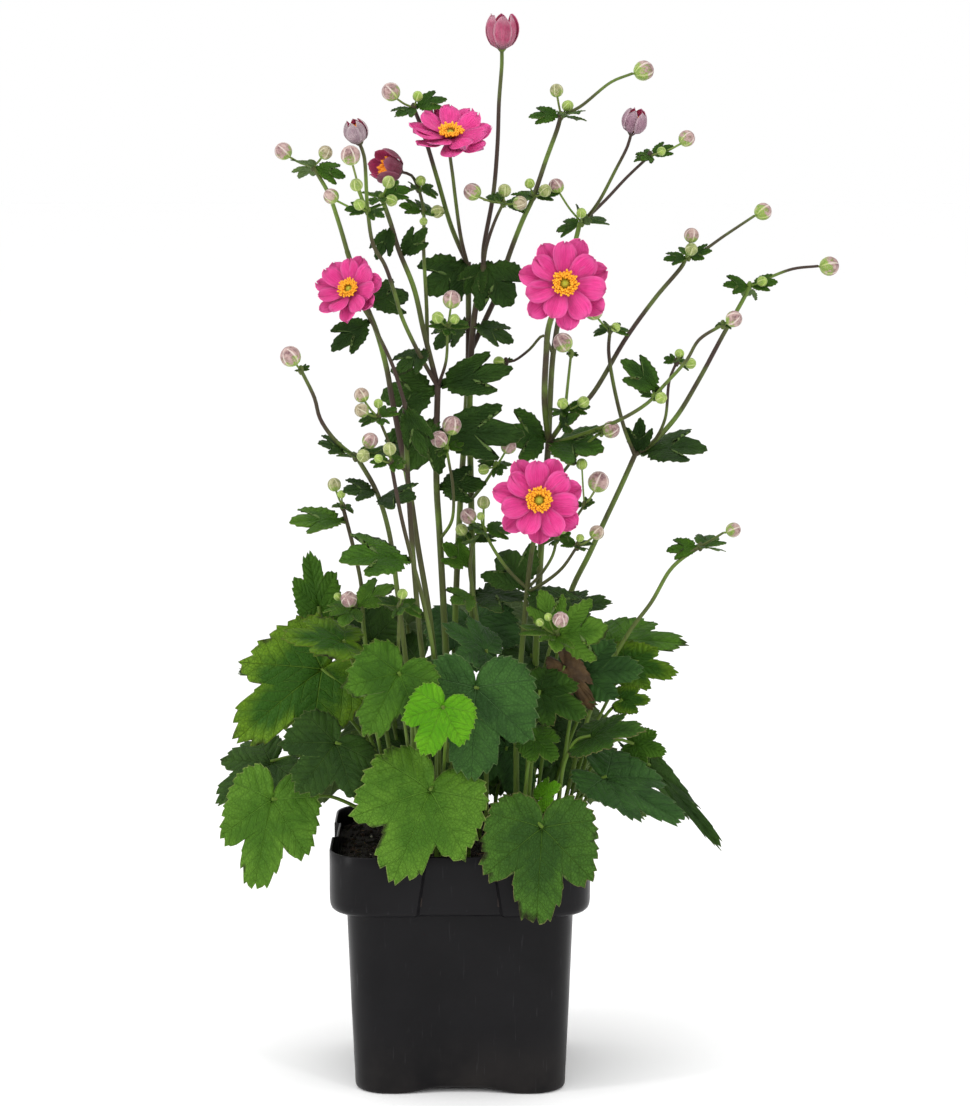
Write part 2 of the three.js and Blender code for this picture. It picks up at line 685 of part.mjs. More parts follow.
// A basal leaf's blade: three toothed lobes, arched down all round from the middle.
function basalBlade(base, tip, width, facing) {
  const length = base.distanceTo(tip);
  const along = tip.clone().sub(base).normalize();
  const [across, normal] = bladeDirections(along, facing);
  const spread = width / (leafSpan * length);
  const place = (u, v, side) => base.clone().addScaledVector(along, u).addScaledVector(across, v)
    .addScaledVector(normal, side * bladeThickness / 2 - leafDroop * (u * u + v * v) / length);
  const rim = Array.from({ length: 2 * leafTeeth }, (unused, i) => {
    const angle = 180 * (i < leafTeeth ? i / leafTeeth : i / leafTeeth - 2);
    const reach = length * leafRim(angle);
    const turn = THREE.MathUtils.degToRad(angle);
    return place(reach * Math.cos(turn), spread * reach * Math.sin(turn), 0);
  });
  return fanned(rim, place(leafMiddle * length, 0, 1), place(leafMiddle * length, 0, -1));
}

// A leaf that grows straight out of a stem: a rim of [reach, half width] places, pointed at its root,
// and a thicker middle.
function rootedBlade(root, along, length, width, facing, outline) {
  const [across, normal] = bladeDirections(along, facing);
  const place = ([u, v], side) => root.clone().addScaledVector(along, u * length)
    .addScaledVector(across, v * width)
    .addScaledVector(normal, side * bladeThickness / 2 - stemLeafDroop * u * u * length);
  const middle = [0.45, 0];
  return fanned(outline.map((rimPlace) => place(rimPlace, 0)), place(middle, 1), place(middle, -1));
}

// Three small leaves round a joint of the stem.
function whorl(joint, size, turn) {
  return [0, 120, 240].map((step) => {
    const angle = THREE.MathUtils.degToRad(turn + step);
    const outward = new THREE.Vector3(Math.cos(angle), Math.sin(angle), 0);
    const root = joint.clone().addScaledVector(outward, 0.6);
    const length = size * (step === 0 ? 1.1 : 0.95);
    outward.setZ(bractLift).normalize();
    return rootedBlade(root, outward, length, 0.72 * length, [0, 0, 1], bractOutline);
  });
}

// The point on the middle lines of the stalks that lies nearest to the one given.
function nearestOn(middleLines, point) {
  let best = null;
  for (const line of middleLines) {
    for (let i = 0; i < line.length - 1; i += 1) {
      const near = new THREE.Line3(line[i], line[i + 1])
        .closestPointToPoint(point, true, new THREE.Vector3());
      if (!best || near.distanceTo(point) < best.distanceTo(point)) best = near;
    }
  }
  return best;
}

// The swelling of a joint where several stalks meet.
function knob(joint) {
  const geometry = new THREE.OctahedronGeometry(knobRadius);
  geometry.translate(joint.x, joint.y, joint.z);
  return solidOf(geometry);
}

// A bud on its own short stalk, from the joint it grows out of.
function budOnPedicel(joint, place) {
  const centre = seen(place);
  const radius = place[3];
  const lean = centre.clone().sub(joint).normalize().add(new THREE.Vector3(0, 0, 0.4)).normalize();
  const [side, top] = crossDirections(lean);
  const ring = (middle, reach) => Array.from({ length: budSides }, (unused, i) => {
    const angle = (2 * Math.PI * i) / budSides;
    return middle.clone().addScaledVector(side, reach * Math.cos(angle))
      .addScaledVector(top, reach * Math.sin(angle));
  });
  const along = (share) => centre.clone().addScaledVector(lean, share * radius);
  return loft(joint.clone().addScaledVector(lean, -1), [
    ring(joint, pedicelRadius),
    ring(along(-1.05), pedicelRadius),
    ring(along(-0.1), radius),
  ], along(1.05));
}

// The straight lowest stretch of a stalk, which stands in its hole in the soil.
function footPoints(foot) {
  return [soilTop + 18, soilTop + 5, soilTop - holeDepth].map((height) => new THREE.Vector3(...foot, height));
}

// An upright round bar, used to cut a hole.
function uprightBar(foot, radius, bottom, top, sides) {
  const bar = new THREE.CylinderGeometry(radius, radius, top - bottom, sides);
  bar.rotateX(Math.PI / 2);
  bar.translate(...foot, (top + bottom) / 2);
  return solidOf(bar);
}

// One flowering stem with everything that grows on it.
function floweringStem({ name, foot, stalks, sprays, leaves }) {
  const middleLines = [];
  const solids = [];
  stalks.forEach(([radius, places, facing], order) => {
    const points = places.map(seen);
    if (order === 0) {
      points.push(...footPoints(foot));
    } else {
      points[0] = nearestOn(middleLines, points[0]);
    }
    if (facing) {
      const seat = points.pop();
      const toward = new THREE.Vector3(...facing).normalize();
      points.push(seat.clone().addScaledVector(toward, -8), seat.clone().addScaledVector(toward, -seatGap));
    }
    const [sides, stepLength] = order === 0 ? mainStalkFacets : branchFacets;
    const route = new THREE.CatmullRomCurve3(points);
    middleLines.push(route.getSpacedPoints(stepsAlong(route, stepLength)));
    solids.push(stalkAlong(points, radius, sides, stepLength));
  });
  for (const [place, size, turn, buds] of sprays) {
    const joint = nearestOn(middleLines, seen(place));
    if (buds.length > 1 || size > smallestWhorl) solids.push(knob(joint));
    if (size > smallestWhorl) solids.push(...whorl(joint, size, turn));
    for (const bud of buds) solids.push(budOnPedicel(joint, bud));
  }
  for (const [base, tip, width, facing] of leaves) {
    const root = nearestOn(middleLines, seen(base));
    const along = seen(tip).sub(root);
    const length = along.length();
    solids.push(rootedBlade(root, along.normalize(), length, width, facing, stemLeafOutline));
  }
  return meshOf(name, joined(solids), stemMaterial.clone());
}

// The basal leaves on one stalk from the soil. A second blade's stalk branches off the first's.
function basalLeaf({ name, foot, blades }) {
  const middleLines = [];
  const solids = blades.flatMap(({ base, tip, width, facing, stalk }, order) => {
    const root = seen(base);
    const points = [root, ...stalk.map(seen)];
    if (order === 0) points.push(...footPoints(foot));
    else points.push(nearestOn(middleLines, points.pop()));
    const route = new THREE.CatmullRomCurve3(points);
    middleLines.push(route.getSpacedPoints(stepsAlong(route, leafStalkFacets[1])));
    return [
      basalBlade(root, seen(tip), width, facing),
      stalkAlong(points, leafStalkRadius, ...leafStalkFacets),
    ];
  });
  return meshOf(`leaf_${name}`, joined(solids), leafMaterial.clone());
}

// Two directions square to the way a bloom faces.
function crossDirections(facing) {
  const side = new THREE.Vector3().crossVectors(facing, new THREE.Vector3(0.2, 0.3, 1)).normalize();
  return [side, new THREE.Vector3().crossVectors(facing, side)];
}

// A petal as rows of left edge, middle and right edge points, with a single point at each end.
function petalSolid(place, rows) {
  const points = [place(0, 0, 0), place(1, 0, 0)];
  for (const [u, v] of rows) {
    points.push(place(u, -v, 0), place(u, v, 0), place(u, 0, 1), place(u, 0, -1));
  }
  const faces = [];
  for (const face of [0, 1]) {
    const add = (a, b, c) => faces.push(face === 0 ? [a, c, b] : [a, b, c]);
    const row = (i) => [2 + 4 * i, 4 + 4 * i + face, 3 + 4 * i];
    const [left, middle, right] = row(0);
    add(0, middle, left);
    add(0, right, middle);
    for (let i = 0; i < rows.length - 1; i += 1) {
      const [a, b, c] = row(i);
      const [d, e, f] = row(i + 1);
      add(a, b, d);
      add(b, e, d);
      add(b, c, e);
      add(c, f, e);
    }
    const [lastLeft, lastMiddle, lastRight] = row(rows.length - 1);
    add(1, lastLeft, lastMiddle);
    add(1, lastMiddle, lastRight);
  }
  return solidOfFaces(points, faces);
}

// An open bloom: two layers of petals on a small receptacle, each petal lifted at one edge so that
// it lies over its neighbour.
function openPetals({ name, seat, radius, facing }, seed) {
  const draw = seededDraws(seed);
  const toward = new THREE.Vector3(...facing).normalize();
  const [side, top] = crossDirections(toward);
  const foot = seen(seat);
  const centre = foot.clone().addScaledVector(toward, receptacleDepth);
  const solids = [turned([[0, 0], [4.2, 4], [3.4, 6.4], [0, 7]], 6, foot, toward)];
  for (const layer of [0, 1]) {
    for (let i = 0; i < petalsPerLayer; i += 1) {
      const angle = (2 * Math.PI * (i + 0.5 * layer)) / petalsPerLayer + 0.12 * (draw() - 0.5);
      const reach = radius * (layer === 0 ? 1 : 0.86) * (0.93 + 0.1 * draw());
      const outward = side.clone().multiplyScalar(Math.cos(angle)).addScaledVector(top, Math.sin(angle));
      const across = new THREE.Vector3().crossVectors(toward, outward);
      const place = (u, v, face) => centre.clone()
        .addScaledVector(outward, petalRoot + (reach - petalRoot) * u)
        .addScaledVector(across, v * radius)
        .addScaledVector(toward, layer * (0.9 + 3.2 * u) + petalRise * radius * u * u
          + petalTwist * v * radius + face * petalThickness / 2);
      solids.push(petalSolid(place, petalRows));
    }
  }
  return meshOf(`bloom_${name}_petals`, joined(solids), petalMaterial.clone());
}

// The green centre of an open bloom, with a ring of stamens that stand out round it.
function stamens({ name, seat, radius, facing }) {
  const toward = new THREE.Vector3(...facing).normalize();
  const base = seen(seat).addScaledVector(toward, receptacleDepth + 2 + seatGap);
  const [side, top] = crossDirections(toward);
  const rim = [];
  for (let i = 0; i < 2 * stamenCount; i += 1) {
    const angle = (Math.PI * i) / stamenCount;
    const reach = radius * (i % 2 ? 0.17 : 0.31);
    rim.push(base.clone().addScaledVector(toward, i % 2 ? 2.2 : 4)
      .addScaledVector(side, reach * Math.cos(angle)).addScaledVector(top, reach * Math.sin(angle)));
  }
  const solid = fanned(rim, base.clone().addScaledVector(toward, 5.6), base);
  return meshOf(`bloom_${name}_stamens`, solid, stamenMaterial.clone());
}

// A half open bloom: petals that stand in a cup round the top of the stalk.
function cupPetals({ name, seat, radius, height, facing }) {
  const toward = new THREE.Vector3(...facing).normalize();
  const [side, top] = crossDirections(toward);
  const foot = seen(seat);
  const solids = [turned([[0, 0], [3.4, 2.6], [0, 5]], 6, foot, toward)];
  for (let i = 0; i < cupPetalCount; i += 1) {
    const layer = i % 2 ? 0.88 : 1;
    const place = (u, v, face) => {
      const angle = (2 * Math.PI * i) / cupPetalCount - v * cupPetalSpread;
      const reach = radius * layer * cupProfile(u) + face * petalThickness / 2;
      return foot.clone().addScaledVector(toward, 1.6 + (height - 1.6) * u)
        .addScaledVector(side, reach * Math.cos(angle)).addScaledVector(top, reach * Math.sin(angle));
    };
    solids.push(petalSolid(place, cupRows));
  }
  return meshOf(`bloom_${name}_cup`, joined(solids), cupMaterial.clone());
}

function cupProfile(u) {
  return 0.12 + 1.25 * Math.sqrt(u) * (1 - 0.52 * u);
}

// One ring of the pot's plan: a rounded square whose four faces are set back in the middle.
function potRing(half, height, inset, lift = 0) {
  const points = [];
  const arc = potCorner * (half / collarHalf);
  const slope = 4;
  for (let face = 0; face < 4; face += 1) {
    const turn = new THREE.Vector3(0, 0, 1);
    const outline = [0, 30, 60, 90].map((degrees) => {
      const angle = THREE.MathUtils.degToRad(degrees);
      const middle = half - arc;
      return new THREE.Vector3(middle + arc * Math.cos(angle), middle + arc * Math.sin(angle), height);
    });
    outline.push(
      new THREE.Vector3(insetHalfWidth + slope, half, height),
      new THREE.Vector3(insetHalfWidth, half - inset, height + lift),
      new THREE.Vector3(-insetHalfWidth, half - inset, height + lift),
      new THREE.Vector3(-insetHalfWidth - slope, half, height),
    );
    points.push(...outline.map((p) => p.applyAxisAngle(turn, (face * Math.PI) / 2)));
  }
  return points;
}

function pot() {
  const stepTop = collarBottom + 2;
  const rings = [
    potRing(60, 0, 0),
    potRing(bodyBottomHalf - 2, 0, bodyInset, footArch),
    potRing(bodyBottomHalf, 2.5, bodyInset, footArch),
    potRing(bodyTopHalf, collarBottom - 1, bodyInset),
    potRing(bodyTopHalf + 5, collarBottom, collarInset),
    potRing(collarHalf - 1.5, collarBottom + 4, collarInset),
    potRing(collarHalf, collarBottom + 10, collarInset),
    potRing(collarHalf, potHeight, collarInset),
    potRing(collarHalf - wall, potHeight, collarInset),
    potRing(collarHalf - wall, collarBottom + 6, collarInset),
    potRing(bodyTopHalf - wall, stepTop, bodyInset),
    potRing(bodyBottomHalf - wall, 13, bodyInset),
    potRing(58, floorThickness, 0),
  ];
  let solid = loft(new THREE.Vector3(0, 0, 0), rings, new THREE.Vector3(0, 0, floorThickness));
  for (const x of [-drainSpacing, drainSpacing]) {
    for (const y of [-drainSpacing, drainSpacing]) {
      solid = solid.subtract(uprightBar([x, y], drainRadius, -1, floorThickness + 1, 8));
    }
  }
  return meshOf('pot', solid, potMaterial);
}

function soil(feet) {
  const collarWall = collarHalf - wall - soilGap;
  const rings = [
    potRing(54, floorThickness + soilGap, 0),
    potRing(bodyBottomHalf - wall - 1.4, 16, bodyInset),
    potRing(bodyTopHalf - wall - soilGap, collarBottom + 2.6, bodyInset),
    potRing(collarWall, collarBottom + 7, collarInset),
    potRing(collarWall, soilTop, collarInset),
  ];
  const underside = new THREE.Vector3(0, 0, floorThickness + soilGap);
  let solid = loft(underside, rings, new THREE.Vector3(0, 0, soilTop));
  for (const [foot, radius] of feet) {
    const reach = (radius + holeGap) * Math.SQRT2;
    solid = solid.subtract(uprightBar(foot, reach, soilTop - holeDepth - soilGap, soilTop + 8, 4));
  }
  return meshOf('soil', solid, soilMaterial);
}

const potMaterial = new THREE.MeshStandardMaterial({ color: 0x2d2c2e, roughness: 0.42, metalness: 0 });
const soilMaterial = new THREE.MeshStandardMaterial({ color: 0x1d1512, roughness: 0.95, metalness: 0 });
const stemMaterial = new THREE.MeshStandardMaterial({ color: 0x5f7434, roughness: 0.6, metalness: 0 });
const leafMaterial = new THREE.MeshStandardMaterial({ color: 0x3c6b2e, roughness: 0.55, metalness: 0 });
const petalMaterial = new THREE.MeshStandardMaterial({ color: 0xf2439a, roughness: 0.5, metalness: 0 });
const stamenMaterial = new THREE.MeshStandardMaterial({ color: 0xf5b01c, roughness: 0.7, metalness: 0 });
const cupMaterial = new THREE.MeshStandardMaterial({ color: 0xc56a93, roughness: 0.55, metalness: 0 });

const feet = [
  ...floweringStems.map(({ foot, stalks }) => [foot, stalks[0][0]]),
  ...[...basalLeaves, ...backLeaves].map(({ foot }) => [foot, leafStalkRadius]),
];

const group = new THREE.Group();
group.add(pot(), soil(feet));
floweringStems.forEach((stem) => group.add(floweringStem(stem)));
openBlooms.forEach((bloom, order) => group.add(openPetals(bloom, 11 + order), stamens(bloom)));
halfOpenBlooms.forEach((bloom) => group.add(cupPetals(bloom)));
basalLeaves.forEach((leaf) => group.add(basalLeaf({ ...leaf, blades: [leaf] })));
backLeaves.forEach((leaf) => group.add(basalLeaf(leaf)));

export default group;
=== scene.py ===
import math
import random

import bpy
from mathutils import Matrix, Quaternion, Vector


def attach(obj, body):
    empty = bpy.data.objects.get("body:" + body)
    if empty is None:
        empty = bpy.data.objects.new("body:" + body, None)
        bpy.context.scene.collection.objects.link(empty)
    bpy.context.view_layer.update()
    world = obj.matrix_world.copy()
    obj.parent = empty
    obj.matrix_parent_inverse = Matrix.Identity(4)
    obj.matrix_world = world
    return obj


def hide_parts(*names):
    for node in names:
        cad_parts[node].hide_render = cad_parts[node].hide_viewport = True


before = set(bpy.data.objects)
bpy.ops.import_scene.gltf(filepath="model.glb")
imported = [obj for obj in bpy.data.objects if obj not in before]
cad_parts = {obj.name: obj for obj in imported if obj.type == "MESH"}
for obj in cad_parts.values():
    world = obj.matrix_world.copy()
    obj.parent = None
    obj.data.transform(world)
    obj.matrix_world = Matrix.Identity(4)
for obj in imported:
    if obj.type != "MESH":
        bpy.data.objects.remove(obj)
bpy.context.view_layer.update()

bl_info = {
    "name": "Potted japanese anemone",
    "version": (1, 0, 0),
    "blender": (4, 5, 0),
    "location": "3D View > Sidebar > Anemone",
    "description": "Builds a japanese anemone in flower in its square nursery pot",
    "category": "Add Mesh",
}

MM = 0.001
UP = Vector((0, 0, 1))
WHITE = (1, 1, 1, 1)

# Pot and soil, in millimetres
POT_HEIGHT = 178
COLLAR_BOTTOM = 134
COLLAR_HALF = 93.5
BODY_TOP_HALF = 81.5
BODY_BOTTOM_HALF = 76
POT_CORNER = 30
POT_WALL = 1.6
POT_FLOOR = 2.4
COLLAR_INSET = 3.5
COLLAR_PANEL = (22.5, 29)
PANEL_EDGE = 2.2
BODY_INSET = 4
BODY_PANEL = (10, 46)
FOOT_ARCH = 4
DRAIN_SPACING = 38
DRAIN_RADIUS = 5
# The body's outside from its feet up: height, half width, and how much of the arch is left between the feet
POT_BODY = ((0.2, 74.2, 1), (0.9, 75.3, 1), (2.5, 76, 1), (6, 76.2, 0.8), (12, 76.4, 0.5), (22, 76.9, 0.2),
            (36, 77.5, 0.05), (60, 78.6, 0), (85, 79.6, 0), (110, 80.6, 0), (126, 81.2, 0), (132.6, 81.5, 0))
# The collar's outside from its foot up: height and half width
COLLAR_OUTSIDE = ((133.4, 82.4), (134, 84), (134, 88), (134.4, 90.4), (136, 92), (138.5, 93), (142, 93.4),
                  (150, 93.5), (160, 93.5), (170, 93.5), (177.2, 93.5), (177.8, 93.2), (178, 92.7))
# Points on each corner and on each face of a ring of the pot
CORNER_STOPS = 9
FACE_STOPS = 17
SOIL_TOP = 165
SOIL_GAP = 0.4
SOIL_HALF = COLLAR_HALF - POT_WALL - SOIL_GAP
SOIL_PANEL = 25
SOIL_RINGS = 36
HOLE_DEPTH = 18
FIBRES = 90
# The smallest crumb as a share of the largest; pale specks to a crumb, and the largest speck's size
SMALLEST_CRUMB = 0.12
SPECK_SHARE = 0.035
SPECK_SIZE = 1.8

# Plant, in millimetres and in shares of a piece's own size
LEAF_STALK_RADIUS = 1.5
PEDICEL_RADIUS = 0.8
# The swelling at a joint of a stem: height over the joint and radius
JOINT_SWELLING = ((-3.4, 0.8), (-1.8, 1.9), (0, 2.4), (1.8, 1.9), (3.4, 0.8))
# The straight neck under a bloom, how near it no other point may lie, and how far the stalk goes in
NECK_LENGTH = 8
NECK_ROOM = 14
STALK_IN_BLOOM = 0.6
# Distance between the rings of a stalk
STALK_STEP = 3.5
LEAF_STALK_STEP = 4
TWIG_STEP = 3
# A basal leaf's rim: degrees from its tip, and reach
LOBE_POINTS = [(0, 1), (7, 0.985), (13, 0.93), (20, 0.83), (26, 0.69), (30, 0.58), (34, 0.67), (40, 0.8),
               (50, 0.86), (62, 0.79), (75, 0.73), (90, 0.69), (105, 0.66), (120, 0.6), (140, 0.48),
               (160, 0.3), (180, 0.08)]
LEAF_TEETH = 22
LEAF_TOOTH = 0.065
RIM_STEPS = 176
LEAF_SPAN = 1.4
LEAF_DROOP = 0.1
LEAF_MIDDLE = 0.3
STEM_LEAF_DROOP = 0.2
STEM_LEAF_TOOTH = 0.034
EDGE_STEPS = 5
# A stem leaf's corners, from its base round its three lobes
STEM_LEAF_CORNERS = [(0, 0), (0.14, -0.14), (0.28, -0.4), (0.5, -0.52), (0.78, -0.58), (0.64, -0.36),
                     (0.52, -0.17), (0.74, -0.27), (1, 0), (0.74, 0.27), (0.52, 0.17), (0.64, 0.36),
                     (0.78, 0.58), (0.5, 0.52), (0.28, 0.4), (0.14, 0.14)]
PETALS_PER_LAYER = 7
PETAL_ROWS = 9
PETAL_ROOT = 2.4
PETAL_RISE = 0.14
PETAL_TWIST = 0.24
INNER_LAYER = 0.86
RECEPTACLE_DEPTH = 5
MIDDLE_SHARE = 0.115
# Half a petal's width at shares of its length
PETAL_WIDTHS = [(0, 0.05), (0.12, 0.1), (0.3, 0.185), (0.5, 0.245), (0.68, 0.265), (0.82, 0.24),
                (0.92, 0.175), (0.975, 0.095), (1, 0.03)]
CUP_WIDTHS = [(0, 0.22), (0.2, 0.46), (0.5, 0.56), (0.75, 0.52), (0.9, 0.36), (0.97, 0.18), (1, 0.04)]
CUP_PETALS = 6
CUP_SPREAD = 1.1
CUP_INNER_LAYER = 0.88
CUP_FOOT = 1.6
CUP_STAMENS = 26
# The green base of a bloom as (radius, height)
OPEN_BASE = [(0, -5.4), (1.6, -5), (3.6, -2.4), (3.9, -0.6), (0, 0.4)]
CUP_BASE = [(0, -1.6), (1.5, -1.2), (3.0, 0.6), (3.1, 2.2), (0, 3.4)]
# The turn from one stamen to the next, in radians
GOLDEN_ANGLE = 2.39996

# Stage, in metres: half the floor's side, and for each lamp its name, place, the height it is aimed at on
# the plant's middle line, its two sides and its power in watts
FLOOR_REACH = 14.0
LAMPS = (
    ("left", (-2.3, -1.1, 1.0), 0.3, (0.4, 2.2), 22),
    ("right", (1.5, -1.9, 1.0), 0.3, (0.25, 2.0), 13),
    ("top", (-0.4, -0.6, 2.8), 0.4, (2.4, 2.4), 24),
)

# The stems and leaves are placed as they are seen from the front. A place is (x, depth, height): x and
# height are read on the upright plane through the pot's middle, and the point then lies on the line of
# sight through it, at its depth in front of (-) or behind (+) that plane.
VIEWPOINT = Vector((18, -2600, 754))
FORWARD = (0, -1, 0.35)
UPWARD = (0, -0.45, 0.9)

